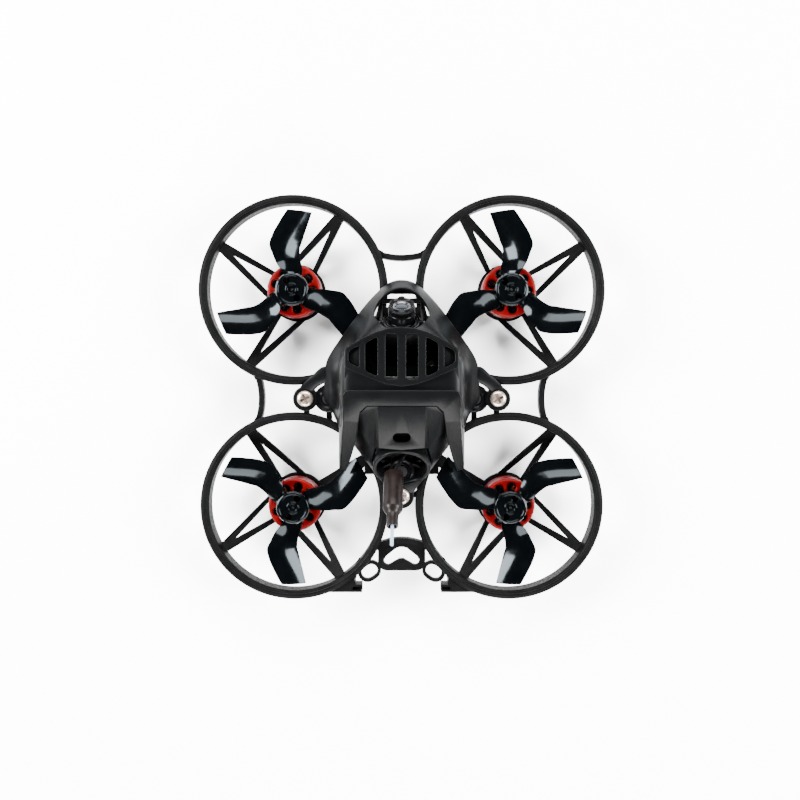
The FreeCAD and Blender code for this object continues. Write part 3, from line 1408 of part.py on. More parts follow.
make_frame()
make_motors()
make_board()
make_grommets()
make_board_parts()
make_vtx()
make_camera()
make_canopy()
make_antenna()
doc.recompute()
check(SUBPARTS)
write(SUBPARTS)
print("sub-parts:", len(SUBPARTS))
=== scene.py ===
import json
import math

import bmesh
import bpy
from mathutils import Matrix, Vector

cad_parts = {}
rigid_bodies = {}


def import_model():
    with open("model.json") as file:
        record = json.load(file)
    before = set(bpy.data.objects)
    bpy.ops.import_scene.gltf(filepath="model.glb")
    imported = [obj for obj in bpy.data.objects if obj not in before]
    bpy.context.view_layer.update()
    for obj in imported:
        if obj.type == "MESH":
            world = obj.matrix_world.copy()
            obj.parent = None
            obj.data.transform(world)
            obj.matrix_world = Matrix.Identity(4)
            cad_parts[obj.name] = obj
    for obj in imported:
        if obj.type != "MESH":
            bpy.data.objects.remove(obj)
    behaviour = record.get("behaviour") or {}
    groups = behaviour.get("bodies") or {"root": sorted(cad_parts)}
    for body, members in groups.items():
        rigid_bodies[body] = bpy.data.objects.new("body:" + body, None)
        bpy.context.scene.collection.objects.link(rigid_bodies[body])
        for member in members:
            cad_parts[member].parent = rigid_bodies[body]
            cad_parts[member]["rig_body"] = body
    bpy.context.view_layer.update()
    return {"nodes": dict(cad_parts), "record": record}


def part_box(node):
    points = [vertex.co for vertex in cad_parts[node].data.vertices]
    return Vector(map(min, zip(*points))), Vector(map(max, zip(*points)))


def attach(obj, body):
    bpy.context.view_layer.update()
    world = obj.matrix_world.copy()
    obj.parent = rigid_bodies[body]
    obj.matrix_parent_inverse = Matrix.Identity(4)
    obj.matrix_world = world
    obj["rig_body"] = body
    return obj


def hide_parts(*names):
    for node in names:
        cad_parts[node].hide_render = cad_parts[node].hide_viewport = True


# The looks of a ducted micro racing drone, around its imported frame.
# Shapes are written in millimetres, and mesh_from() turns them into metres.

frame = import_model()
NODES = frame["nodes"]
MM = 0.001
AIRFRAME = "airframe"
SCREW_PLACES = ((-23.6, 0.0), (23.6, 0.0), (0.0, -24.0))
GROMMET_REACH = 18.03
BLADES = 3
BLADE_PITCH = 32
BLADE_MIDDLE = 12.3
BLADE_TIP = 19.9
BLADE_EDGE = 0.22
BLADE_THICK = 0.75
BLADE_CAMBER = 0.07
HUB_HOLE_REACH = 2.5
HUB_HOLE_TURN = 35
TEETH = 9
TURNS = 4
WIRE_RADIUS = 0.17
VENT_LOW = 22.5
VENT_HIGH = 28
APERTURE_RADIUS = 6.5
APERTURE_DEPTH = 9.0
APERTURE_CENTRE = (0, 21.4, 21.2)
TUBE_CENTRE = (0, -16.7, 17.3)
TUBE_SLOPE = 42
SLEEVE_START = 1.53
SLEEVE_SIDE = -1.9
SLEEVE_LEAN = 1.4
CAMERA_TILT = 35
PIVOT = (0, 16.6, 17.2)
FLOOR_HALF = 3.0
WORLD_STRENGTH = 0.12
CAMERA_PLACE = (-0.4, 9.0, 235.5)
CAMERA_AIM = (-0.4, -0.4, 10.5)
CAMERA_LENS = 41.0


def middle_of(node):
    low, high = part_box(node)
    return (low + high) / (2 * MM)


CORNERS = []
for corner, sense, phase in (("front_left", 1, 84.7), ("front_right", -1, 96.5),
                             ("rear_left", -1, 29.8), ("rear_right", 1, 29.3)):
    CORNERS.append((corner, sense, phase, middle_of("motor_bell_" + corner)))


# ---------------------------------------------------------------- materials

def new_material(name):
    material = bpy.data.materials.new(name)
    material.use_nodes = True
    return material, material.node_tree.nodes, material.node_tree.links


def set_shader(shader, **values):
    for name, value in values.items():
        shader.inputs[name.replace("_", " ")].default_value = value


def noise(nodes, links, scale, detail=3.0):
    """Noise in the object's own space, whose scale is in waves per metre."""
    place = nodes.new("ShaderNodeTexCoord")
    texture = nodes.new("ShaderNodeTexNoise")
    texture.inputs["Scale"].default_value = scale
    texture.inputs["Detail"].default_value = detail
    links.new(place.outputs["Object"], texture.inputs["Vector"])
    return texture.outputs["Fac"]


def ramp(nodes, links, factor, stops):
    """A colour ramp from (position, value or colour) stops."""
    item = nodes.new("ShaderNodeValToRGB")
    while len(item.color_ramp.elements) < len(stops):
        item.color_ramp.elements.new(0.5)
    for element, (position, colour) in zip(item.color_ramp.elements, stops):
        element.position = position
        element.color = colour if isinstance(colour, tuple) else (colour, colour, colour, 1)
    links.new(factor, item.inputs["Fac"])
    return item.outputs["Color"]


def surface(name, dark, light, rough, grain=4000, bump=0.2, depth=0.00004, patch=260, **shader_values):
    """A material with fine grain in its relief, and broad variation in its colour and roughness."""
    material, nodes, links = new_material(name)
    shader = nodes["Principled BSDF"]
    set_shader(shader, **shader_values)
    fine = noise(nodes, links, grain, 4.0)
    broad = noise(nodes, links, patch, 3.0)
    links.new(ramp(nodes, links, broad, [(0.35, (*dark, 1)), (0.65, (*light, 1))]),
              shader.inputs["Base Color"])
    links.new(ramp(nodes, links, fine, [(0.3, rough[0]), (0.7, rough[1])]), shader.inputs["Roughness"])
    relief = nodes.new("ShaderNodeBump")
    relief.inputs["Strength"].default_value = bump
    relief.inputs["Distance"].default_value = depth
    links.new(fine, relief.inputs["Height"])
    links.new(relief.outputs["Normal"], shader.inputs["Normal"])
    return material


MATERIALS = {
    "frame_nylon": surface("moulded_nylon", (0.0002, 0.0002, 0.0002), (0.0009, 0.0009, 0.001), (0.42, 0.7),
                           grain=2600, bump=0.6, depth=0.00012, Specular_IOR_Level=0.025),
    "canopy_plastic": surface("canopy_moulding", (0.0004, 0.0005, 0.0006), (0.0008, 0.0009, 0.001),
                              (0.30, 0.40), grain=5200, bump=0.3, depth=0.00005, patch=140, Specular_IOR_Level=0.05),
    "prop_plastic": surface("propeller_gloss", (0.0002, 0.0003, 0.0004), (0.0004, 0.0005, 0.0006),
                            (0.10, 0.15), grain=900, bump=0.02, depth=0.00002, Specular_IOR_Level=0.08,
                            Specular_Tint=(0.8, 0.93, 1.0, 1.0)),
    "red_alloy": surface("red_anodised", (0.040, 0.0002, 0.0004), (0.060, 0.0003, 0.0006), (0.3, 0.42),
                         grain=7000, bump=0.12, depth=0.00002, Metallic=0.2, Specular_IOR_Level=0.06),
    "motor_alloy": surface("motor_base_alloy", (0.05, 0.0006, 0.0006), (0.08, 0.001, 0.001), (0.3, 0.42),
                           grain=7000, bump=0.1, depth=0.00002, Metallic=0.7),
    "copper_wire": surface("enamelled_copper", (0.17, 0.034, 0.007), (0.24, 0.06, 0.014), (0.22, 0.34),
                           grain=5000, bump=0.1, depth=0.00002, Metallic=0.7),
    "stator_steel": surface("laminated_steel", (0.07, 0.066, 0.062), (0.11, 0.105, 0.10), (0.3, 0.45),
                            grain=6000, bump=0.2, depth=0.00002, Metallic=0.9),
    "magnet": surface("plated_magnet", (0.09, 0.09, 0.092), (0.12, 0.12, 0.122), (0.18, 0.3),
                      grain=4000, bump=0.05, depth=0.00002, Metallic=0.95),
    "shaft_steel": surface("ground_steel", (0.06, 0.055, 0.05), (0.10, 0.095, 0.09), (0.2, 0.32),
                           grain=6000, bump=0.08, depth=0.00002, Metallic=1.0),
    "screw_steel": surface("nickel_screw", (0.26, 0.205, 0.17), (0.36, 0.295, 0.25), (0.2, 0.36),
                           grain=5000, bump=0.12, depth=0.00003, patch=900, Metallic=0.85),
    "black_steel": surface("black_oxide", (0.004, 0.004, 0.0042), (0.008, 0.008, 0.0084), (0.3, 0.42),
                           grain=5000, bump=0.1, depth=0.00002, Metallic=0.6),
    "circuit_board": surface("solder_mask", (0.0005, 0.0008, 0.0008), (0.001, 0.0015, 0.0015), (0.2, 0.34),
                             grain=1400, bump=0.15, depth=0.00004, Specular_IOR_Level=0.04),
    "rubber": surface("glossy_rubber", (0.001, 0.001, 0.0012), (0.002, 0.002, 0.0022), (0.12, 0.22),
                      grain=3000, bump=0.06, depth=0.00002, Specular_IOR_Level=0.09),
    "chip": surface("chip_moulding", (0.0006, 0.0006, 0.0006), (0.0012, 0.0012, 0.0012), (0.4, 0.6),
                    grain=6000, Specular_IOR_Level=0.04),
    "socket_metal": surface("tinned_shell", (0.03, 0.03, 0.03), (0.05, 0.05, 0.05), (0.26, 0.38),
                            grain=3000, bump=0.08, depth=0.00002, Metallic=1.0),
    "button_plastic": surface("button_moulding", (0.06, 0.058, 0.054), (0.08, 0.078, 0.072), (0.35, 0.5),
                              grain=5000,
                              Specular_IOR_Level=0.15),
    "plug_plastic": surface("plug_moulding", (0.004, 0.004, 0.004), (0.006, 0.006, 0.006), (0.35, 0.5),
                            grain=4000,
                            Specular_IOR_Level=0.06),
    "gold": surface("gold_plate", (0.18, 0.10, 0.015), (0.24, 0.14, 0.026), (0.2, 0.32),
                    grain=4000, bump=0.05, depth=0.00002, Metallic=0.9),
    "camera_plastic": surface("camera_moulding", (0.0004, 0.0004, 0.0005), (0.0008, 0.0008, 0.0009),
                              (0.3, 0.45),
                              grain=5000, bump=0.15, depth=0.00003, Specular_IOR_Level=0.04),
    "lens_metal": surface("lens_anodised", (0.0005, 0.0005, 0.0006), (0.0009, 0.001, 0.0011), (0.2, 0.3),
                          grain=6000, bump=0.05, depth=0.00002, Specular_IOR_Level=0.045),
    "shrink_sleeve": surface("heat_shrink", (0.0018, 0.0011, 0.0010), (0.0034, 0.0022, 0.0020), (0.26, 0.4),
                             grain=2400, bump=0.22, depth=0.00008, patch=500, Specular_IOR_Level=0.05),
    "whisker": surface("whisker_sheath", (0.10, 0.14, 0.175), (0.14, 0.18, 0.215), (0.3, 0.42),
                       grain=3000, bump=0.05, depth=0.00002, Specular_IOR_Level=0.1),
    "lens_ring": surface("lens_bright_ring", (0.02, 0.02, 0.022), (0.04, 0.04, 0.042), (0.2, 0.3),
                         grain=6000, bump=0.05, depth=0.00002, Metallic=0.9),
}


def lens_glass_material():
    material, nodes, links = new_material("coated_glass")
    shader = nodes["Principled BSDF"]
    set_shader(shader, Specular_IOR_Level=0.05, Roughness=0.04)
    stops = [(0.35, (0.003, 0.004, 0.005, 1)), (0.65, (0.005, 0.007, 0.011, 1))]
    tone = ramp(nodes, links, noise(nodes, links, 160.0), stops)
    links.new(tone, shader.inputs["Base Color"])
    return material


def floor_material():
    material, nodes, links = new_material("studio_floor")
    shader = nodes["Principled BSDF"]
    set_shader(shader, Specular_IOR_Level=0.2, Roughness=0.75)
    stops = [(0.3, (0.90, 0.90, 0.905, 1)), (0.7, (0.93, 0.93, 0.93, 1))]
    tone = ramp(nodes, links, noise(nodes, links, 6.0), stops)
    links.new(tone, shader.inputs["Base Color"])
    return material


MATERIALS["lens_glass"] = lens_glass_material()
SLOT_OF = {entry["node"]: entry["material_slot"] for entry in frame["record"]["subparts"]}
for node, item in NODES.items():
    item.data.materials.clear()
    item.data.materials.append(MATERIALS[SLOT_OF[node]])


# ---------------------------------------------------------------- mesh helpers

def shade(item, angle=35):
    """Smooth shading that keeps edges sharper than an angle."""
    for face in item.data.polygons:
        face.use_smooth = True
    item.data.set_sharp_from_angle(angle=math.radians(angle))


def place_piece(item, body, slot, replaced=(), angle=35):
    item.data.materials.clear()
    item.data.materials.append(MATERIALS[slot])
    shade(item, angle)
    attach(item, body)
    if replaced:
        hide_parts(*replaced)
    return item


def link_mesh(name, mesh):
    item = bpy.data.objects.new(name, mesh)
    bpy.context.scene.collection.objects.link(item)
    return item


def mesh_from(name, points, faces):
    """A mesh object from points in millimetres, with its faces turned outwards."""
    mesh = bpy.data.meshes.new(name)
    mesh.from_pydata([tuple(c * MM for c in p) for p in points], [], faces)
    work = bmesh.new()
    work.from_mesh(mesh)
    bmesh.ops.remove_doubles(work, verts=work.verts, dist=1e-7)
    bmesh.ops.recalc_face_normals(work, faces=work.faces)
    work.to_mesh(mesh)
    work.free()
    return link_mesh(name, mesh)


def apply_all(item):
    """Turns an object's modifiers into its mesh."""
    depsgraph = bpy.context.evaluated_depsgraph_get()
    done = bpy.data.meshes.new_from_object(item.evaluated_get(depsgraph))
    item.modifiers.clear()
    item.data = done
    return item


def bevel(item, width, segments=3, angle=30):
    modifier = item.modifiers.new("bevel", "BEVEL")
    modifier.width = width * MM
    modifier.segments = segments
    modifier.limit_method = "ANGLE"
    modifier.angle_limit = math.radians(angle)
    modifier.harden_normals = False
    modifier.use_clamp_overlap = True
    return apply_all(item)


def subdivide(item, levels):
    modifier = item.modifiers.new("subdivision", "SUBSURF")
    modifier.levels = levels
    return apply_all(item)


def solidify(item, thickness, offset=-1):
    modifier = item.modifiers.new("thickness", "SOLIDIFY")
    modifier.thickness = thickness * MM
    modifier.offset = offset
    return apply_all(item)


def carve(item, *cutters):
    """Cuts other objects out of one, and removes them."""
    for cutter in cutters:
        modifier = item.modifiers.new("cut", "BOOLEAN")
        modifier.operation = "DIFFERENCE"
        modifier.solver = "EXACT"
        modifier.object = cutter
        apply_all(item)
        bpy.data.objects.remove(cutter)
    return item


def join(name, items):
    """Several objects' meshes as one object."""
    work = bmesh.new()
    for item in items:
        item.data.transform(item.matrix_world)
        work.from_mesh(item.data)
        bpy.data.objects.remove(item)
    mesh = bpy.data.meshes.new(name)
    work.to_mesh(mesh)
    work.free()
    return link_mesh(name, mesh)


def lathe(name, profile, centre=(0, 0, 0), turn=None, steps=96):
    """A closed profile of (radius, height) spun about an axis through a centre."""
    rotation = turn or Matrix.Identity(3)
    points, faces = [], []
    count = len(profile)
    for i in range(steps):
        angle = 2 * math.pi * i / steps
        for radius, height in profile:
            local = Vector((radius * math.cos(angle), radius * math.sin(angle), height))
            points.append(tuple(rotation @ local + Vector(centre)))
    for i in range(steps):
        for j in range(count):
            a, b = i * count + j, i * count + (j + 1) % count
            c, d = ((i + 1) % steps) * count + (j + 1) % count, ((i + 1) % steps) * count + j
            faces.append((a, b, c, d))
    return mesh_from(name, points, faces)


def rounded(profile, radius, steps=4):
    """A closed profile with each of its corners cut by an arc."""
    result = []
    count = len(profile)
    for i in range(count):
        here = Vector(profile[i])
        before, after = Vector(profile[i - 1]) - here, Vector(profile[(i + 1) % count]) - here
        reach = min(radius, before.length * 0.45, after.length * 0.45)
        start, end = here + before.normalized() * reach, here + after.normalized() * reach
        for k in range(steps + 1):
            share = k / steps
            result.append(tuple(start.lerp(here, share).lerp(here.lerp(end, share), share)))
    return result


def prism(name, outline, low, high, turn=None, centre=(0, 0, 0)):
    """An outline of (x, y) points pulled up from one height to another."""
    rotation = turn or Matrix.Identity(3)
    count = len(outline)
    points = []
    for z in (low, high):
        points += [tuple(rotation @ Vector((x, y, z)) + Vector(centre)) for x, y in outline]
    faces = [tuple(range(count))[::-1], tuple(range(count, 2 * count))]
    faces += [(i, (i + 1) % count, count + (i + 1) % count, count + i) for i in range(count)]
    return mesh_from(name, points, faces)


def circle(radius, steps=48, centre=(0, 0)):
    return [(centre[0] + radius * math.cos(2 * math.pi * i / steps),
             centre[1] + radius * math.sin(2 * math.pi * i / steps)) for i in range(steps)]


def polished(node, width, segments=2, angle=28, shade_angle=40):
    """A copy of a CAD node with its edges broken, as a moulded or machined piece has."""
    source = NODES[node]
    mesh = source.data.copy()
    work = bmesh.new()
    work.from_mesh(mesh)
    bmesh.ops.remove_doubles(work, verts=work.verts, dist=2e-6)
    bmesh.ops.dissolve_limit(work, angle_limit=math.radians(1.0), verts=work.verts, edges=work.edges)
    work.to_mesh(mesh)
    work.free()
    item = link_mesh(node + "_looks", mesh)
    bevel(item, width, segments, angle)
    return place_piece(item, source["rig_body"], SLOT_OF[node], (node,), shade_angle)


# ---------------------------------------------------------------- propellers

BLADE = [(3.0, -24, 33), (4.9, -21.3, 34.5), (7.4, -8.5, 36), (10, -3.5, 34), (12.1, -5, 32.3),
         (14, -6.2, 25.7), (16.6, -7.6, 16.5), (19.5, -8.6, 8.7)]
CHORD_STEPS = 14
SPAN_STEPS = 44


def spline_at(stations, share):
    """A smooth value along evenly numbered stations, through every one of them."""
    place = share * (len(stations) - 1)
    i = min(int(place), len(stations) - 2)
    t = place - i
    p = [stations[max(0, min(len(stations) - 1, i + k))] for k in (-1, 0, 1, 2)]
    return [0.5 * (2 * b + (c - a) * t + (2 * a - 5 * b + 4 * c - d) * t * t + (3 * b - a - 3 * c + d) * t ** 3)
            for a, b, c, d in zip(*p)]


def blade_ring(radius, trailing, leading, sense, phase):
    """One closed, cambered slice of a blade, round a hub at the origin."""
    thick = BLADE_THICK * (1.25 - 0.5 * radius / BLADE_TIP)
    slope = math.atan(BLADE_PITCH / (2 * math.pi * max(radius, 5.5)))
    chord = radius * 2 * math.sin(math.radians((leading - trailing) / 2))
    rise = chord * math.sin(slope)
    middle = BLADE_MIDDLE + 0.45 * max(0.0, min(1.0, (8 - radius) / 3))
    start = math.radians(phase + sense * trailing)
    end = math.radians(phase + sense * leading)
    a = Vector((radius * math.cos(start), radius * math.sin(start), middle - rise / 2))
    b = Vector((radius * math.cos(end), radius * math.sin(end), middle + rise / 2))
    ring = []
    for k in range(2 * CHORD_STEPS):
        over = k <= CHORD_STEPS
        share = k / CHORD_STEPS if over else 2 - k / CHORD_STEPS
        share = 0.5 - 0.5 * math.cos(math.pi * share)
        full = 4 * share * (1 - share)
        half = (BLADE_EDGE + (thick - BLADE_EDGE) * full) / 2
        point = a.lerp(b, share)
        point.z += full * chord * BLADE_CAMBER + (half if over else -half)
        ring.append(tuple(point))
    return ring


def make_propeller(corner, sense, phase, middle):
    """A hub with two screw holes and three swept, twisted blades with rounded edges."""
    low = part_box("propeller_" + corner)[0].z / MM
    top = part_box("propeller_" + corner)[1].z / MM
    blades = []
    for i in range(BLADES):
        points, faces = [], []
        for step in range(SPAN_STEPS + 1):
            radius, trailing, leading = spline_at(BLADE, step / SPAN_STEPS)
            for x, y, z in blade_ring(radius, trailing, leading, sense, phase + 120 * i):
                points.append((x + middle.x, y + middle.y, max(z, low + 0.06)))
        around = 2 * CHORD_STEPS
        for step in range(SPAN_STEPS):
            for k in range(around):
                a, b = step * around + k, step * around + (k + 1) % around
                faces.append((a, b, b + around, a + around))
        faces.append(tuple(range(around)))
        faces.append(tuple(range(SPAN_STEPS * around, (SPAN_STEPS + 1) * around)))
        blades.append(bevel(mesh_from("blade", points, faces), 0.1, 2, 50))
    rim = [(0.35, low), (4.0, low), (4.03, top - 0.5), (3.85, top - 0.12), (3.55, top), (3.3, top - 0.03),
           (3.2, top - 0.16), (1.5, top - 0.16), (1.42, top + 0.12), (0.95, top + 0.12), (0.8, top - 0.1),
           (0.35, top - 0.5)]
    hub = lathe("hub", rounded(rim, 0.08, 2), (middle.x, middle.y, 0), steps=72)
    for sign in (-1, 1):
        angle = math.radians(phase + HUB_HOLE_TURN)
        at = (middle.x + sign * HUB_HOLE_REACH * math.cos(angle),
              middle.y + sign * HUB_HOLE_REACH * math.sin(angle), 0)
        carve(hub, prism("hole", circle(0.8, 24), low - 1, top + 1, centre=at))
    bevel(hub, 0.07, 2, 50)
    place_piece(join("propeller_%s_looks" % corner, [hub] + blades), "rotor_" + corner, "prop_plastic",
                ("propeller_" + corner,), 50)


# ---------------------------------------------------------------- motors

def racetrack(half_length, half_height, radius, steps=5):
    """A rounded rectangle's outline."""
    points = []
    for cx, cy, start in ((1, 1, 0), (-1, 1, 90), (-1, -1, 180), (1, -1, 270)):
        for k in range(steps + 1):
            angle = math.radians(start + 90 * k / steps)
            points.append((cx * (half_length - radius) + radius * math.cos(angle),
                           cy * (half_height - radius) + radius * math.sin(angle)))
    return points


def tube_ring(path, radius, sides=7):
    """Points and faces of a closed tube round a closed path."""
    points, faces = [], []
    count = len(path)
    for i, here in enumerate(path):
        ahead = (path[(i + 1) % count] - path[i - 1]).normalized()
        level = ahead.orthogonal() if abs(ahead.z) > 0.9 else ahead.cross(Vector((0, 0, 1)))
        side = level.normalized()
        other = ahead.cross(side).normalized()
        for k in range(sides):
            angle = 2 * math.pi * k / sides
            points.append(here + side * radius * math.cos(angle) + other * radius * math.sin(angle))
    for i in range(count):
        for k in range(sides):
            a, b = i * sides + k, i * sides + (k + 1) % sides
            c, d = ((i + 1) % count) * sides + (k + 1) % sides, ((i + 1) % count) * sides + k
            faces.append((a, b, c, d))
    return points, faces


def make_windings(corner, middle):
    """Turns of enamelled wire round each of the nine teeth, fanned out towards the rim."""
    low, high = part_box("windings_" + corner)
    centre_z = (low.z + high.z) / (2 * MM)
    points, faces = [], []
    for tooth in range(TEETH):
        angle = math.radians(40 * tooth + 20)
        out = Vector((math.cos(angle), math.sin(angle), 0))
        across = Vector((-math.sin(angle), math.cos(angle), 0))
        for turn in range(TURNS):
            reach = 3.42 + 0.32 * turn
            path = []
            for x, z in racetrack(0.62 + 0.1 * turn, 1.42, 0.45, 4):
                core = Vector((middle.x, middle.y, centre_z))
                path.append(core + out * reach + across * x + Vector((0, 0, z)))
            made, quads = tube_ring(path, WIRE_RADIUS)
            faces += [tuple(i + len(points) for i in quad) for quad in quads]
            points += [tuple(p) for p in made]
    item = mesh_from("windings_%s_looks" % corner, points, faces)
    place_piece(item, AIRFRAME, "copper_wire", ("windings_" + corner,), 60)


# ---------------------------------------------------------------- canopy

def shell_from_rows(name, rows):
    """A surface through rows of points on the right half, completed by its mirror image."""
    points, faces = [], []
    width = len(rows[0])
    for row in rows:
        points += row
    for r in range(len(rows) - 1):
        for c in range(width - 1):
            a = r * width + c
            faces.append((a, a + 1, a + width + 1, a + width))
    count = len(points)
    points += [(-x, y, z) for x, y, z in points]
    faces += [tuple(i + count for i in face)[::-1] for face in faces]
    return mesh_from(name, points, faces)


# Rows of the dome from its lower edge to its crown.  Each runs from the nose round to the side's rear.
DOME_ROWS = [
    [(0, 29.1, 13.5), (2.9, 28.6, 13.5), (5.4, 26.6, 13.6), (9.4, 22.3, 14.1), (14.3, 15.4, 14.4),
     (18.8, 9.3, 14.3),
     (18.6, 5.6, 13.6), (19.3, 1.4, 13.1), (18.9, -0.9, 13.1), (16.6, -3.4, 13.2), (15.4, -7.0, 13.6)],
    [(0, 28.9, 14.5), (2.8, 28.3, 14.5), (5.2, 26.3, 14.7), (9.1, 21.9, 15.3), (13.6, 15.2, 15.6),
     (16.9, 9.4, 15.7),
     (16.7, 5.4, 15.2), (16.6, 1.2, 14.9), (16.3, -1.2, 14.9), (15.7, -3.8, 14.8), (15.2, -7.0, 15.0)],
    [(0, 27.0, 17.1), (3.0, 26.2, 17.2), (5.2, 24.4, 17.6), (8.4, 20.4, 18.2), (12.2, 14.8, 18.5),
     (15.0, 9.6, 18.4),
     (15.4, 5.2, 18.2), (15.5, 1.2, 18.0), (15.4, -1.4, 18.0), (15.3, -3.9, 17.8), (15.0, -7.0, 17.6)],
    [(0, 22.4, 21.6), (3.2, 22.0, 21.6), (5.4, 20.6, 21.6), (8.3, 17.6, 22.0), (11.6, 13.7, 22.2),
     (14.2, 10.4, 22.2),
     (14.8, 6.2, 22.0), (15.0, 2.0, 21.8), (14.9, -1.0, 21.6), (14.6, -3.8, 21.2), (14.4, -6.0, 20.8)],
    [(0, 17.9, 25.1), (3.2, 17.4, 25.0), (5.6, 16.4, 24.8), (8.8, 14.9, 24.7), (11.8, 12.9, 24.5),
     (13.6, 10.8, 24.2),
     (13.9, 6.4, 24.1), (13.9, 2.0, 24.0), (13.8, -1.0, 23.6), (13.4, -3.4, 23.2), (12.6, -4.2, 23.0)],
    [(0, 12.0, 25.3), (3.2, 11.6, 25.3), (5.6, 11.0, 25.3), (8.4, 10.4, 25.2), (10.6, 9.6, 25.1),
     (12.0, 8.6, 24.9),
     (12.2, 5.6, 24.7), (11.8, 1.4, 24.5), (11.0, -1.0, 24.2), (9.0, -2.0, 24.0), (7.0, -2.0, 24.0)],
    [(0, 2.0, 24.7), (1.0, 2.0, 24.7), (2.0, 2.0, 24.7), (3.0, 2.0, 24.7), (4.0, 2.0, 24.7), (5.0, 2.0, 24.7),
     (5.4, 1.4, 24.6), (5.4, 0.4, 24.5), (5.0, -0.6, 24.4), (3.0, -1.4, 24.3), (0, -1.6, 24.3)],
]


def slot_shapes():
    """The six vents: two straight bars, two slanted ones and two small ones that narrow outwards."""
    made = []
    right_side = ([(1.0, 5.0), (3.75, 5.0), (3.75, 15.5), (1.0, 15.5)],
                  [(5.6, 5.6), (8.4, 6.9), (8.4, 13.4), (5.6, 14.8)],
                  [(9.8, 7.6), (12.3, 8.9), (12.3, 11.6), (9.8, 12.8)])
    for vent in right_side:
        for sign in (-1, 1):
            corners = [(sign * x, y) for x, y in vent]
            made.append(rounded(corners, 0.75, 5))
    return made


def aperture_cutter():
    turn = Matrix.Rotation(math.radians(-48), 3, "X")
    outline = circle(APERTURE_RADIUS, 72)
    return prism("aperture", outline, -APERTURE_DEPTH / 2, APERTURE_DEPTH / 2, turn, APERTURE_CENTRE)


def make_dome():
    dome = subdivide(shell_from_rows("dome", DOME_ROWS), 2)
    solidify(dome, 0.9)
    carve(dome, aperture_cutter())
    for outline in slot_shapes()[:4]:
        carve(dome, prism("vent", outline, VENT_LOW, VENT_HIGH))
    return bevel(dome, 0.12, 2, 40)


def leaf_outline():
    """The raised panel: two long curved sides and two short upright ends."""
    half = [(0.0, 17.1), (3.0, 16.8), (6.0, 15.9), (9.0, 14.5), (11.4, 13.1), (12.9, 12.1), (13.1, 11.6),
            (13.1, 8.4), (12.8, 7.7), (10.5, 6.6), (7.0, 5.1), (3.5, 3.9), (0.0, 3.3)]
    return half + [(-x, y) for x, y in reversed(half[1:-1])]


def make_panel():
    panel = prism("panel", leaf_outline(), 24.6, 25.95)
    for outline in slot_shapes():
        carve(panel, prism("vent", outline, VENT_LOW, VENT_HIGH))
    return bevel(panel, 0.16, 3, 40)


def mirrored_faces(name, points, faces):
    count = len(points)
    whole = points + [(-x, y, z) for x, y, z in points]
    both = faces + [tuple(i + count for i in face)[::-1] for face in faces]
    return mesh_from(name, whole, both)


def make_facets():
    """The two flat facets that fall from the panel's rear edge to the roof's step."""
    points = [(0, 4.4, 25.3), (4.0, 5.0, 25.2), (8.0, 6.4, 25.1), (13.2, 8.4, 24.7), (13.4, 2.2, 23.7),
              (0, 2.2, 24.3)]
    item = mirrored_faces("facets", points, [(0, 1, 2, 3, 4, 5)])
    solidify(item, 0.9)
    return bevel(item, 0.1, 2, 25)


def make_roof():
    """The flat roof behind the step, and the two legs that slope down over the rear propellers."""
    points = [(0, 2.45, 25.75), (12.2, 2.45, 25.75), (13.2, 2.1, 25.7), (13.65, 1.1, 25.6),
              (13.7, -4.6, 23.4),
              (14.9, -17.0, 15.4), (13.5, -17.4, 15.2), (12.4, -14.8, 16.6), (10.7, -9.4, 20.2), (10.1,
                                                                                                  -5.2, 23.1),
              (9.6, -2.6, 24.9), (8.0, -1.2, 25.6), (0, -1.2, 25.65)]
    low = [(15.2, 1.1, 16.0), (15.3, -4.6, 14.9), (15.3, -17.0, 14.45), (13.5, -17.5, 14.4)]
    faces = [(0, 1, 2, 3, 4, 9, 10, 11, 12), (4, 5, 6, 7, 8, 9), (3, 13, 14, 4), (4, 14, 15, 5),
             (5, 15, 16, 6)]
    item = mirrored_faces("roof", points + low, faces)
    solidify(item, 0.85)
    return bevel(item, 0.2, 3, 22)


def make_holder():
    """The facetted antenna holder, from the roof's rear edge to the rear screw tab."""
    points = [
        (0, -1.3, 25.7), (5.5, -1.3, 25.7), (8.0, -1.35, 25.5), (9.6, -2.9, 24.6),
        (0, -11.6, 22.9), (5.4, -11.2, 22.5),
        (6.2, -1.9, 24.9), (6.4, -11.6, 19.6),
        (10.6, -7.0, 19.6), (11.4, -11.5, 14.6),
        (7.9, -16.4, 13.4), (4.4, -21.0, 13.0), (2.9, -23.0, 12.85), (0, -23.4, 12.85),
        (7.3, -14.6, 17.6), (5.0, -19.8, 13.8), (0, -21.4, 12.95),
    ]
    faces = [(0, 1, 5, 4), (1, 6, 7, 5), (1, 2, 3, 6), (3, 8, 7, 6), (8, 9, 14, 7), (9, 10, 14), (10, 15, 14),
             (10, 11, 15), (11, 12, 13, 16, 15)]
    item = mirrored_faces("holder", points, faces)
    solidify(item, 0.9)
    turn = Matrix.Rotation(math.radians(12), 3, "X")
    carve(item, prism("port", racetrack(2.1, 1.2, 1.15, 8), -3, 3, turn, (0, -8.7, 23.6)))
    axis = Matrix.Rotation(math.radians(90 - TUBE_SLOPE), 3, "X")
    carve(item, prism("bore", circle(5.95, 72), -6, 8, axis, TUBE_CENTRE))
    return bevel(item, 0.16, 3, 22)


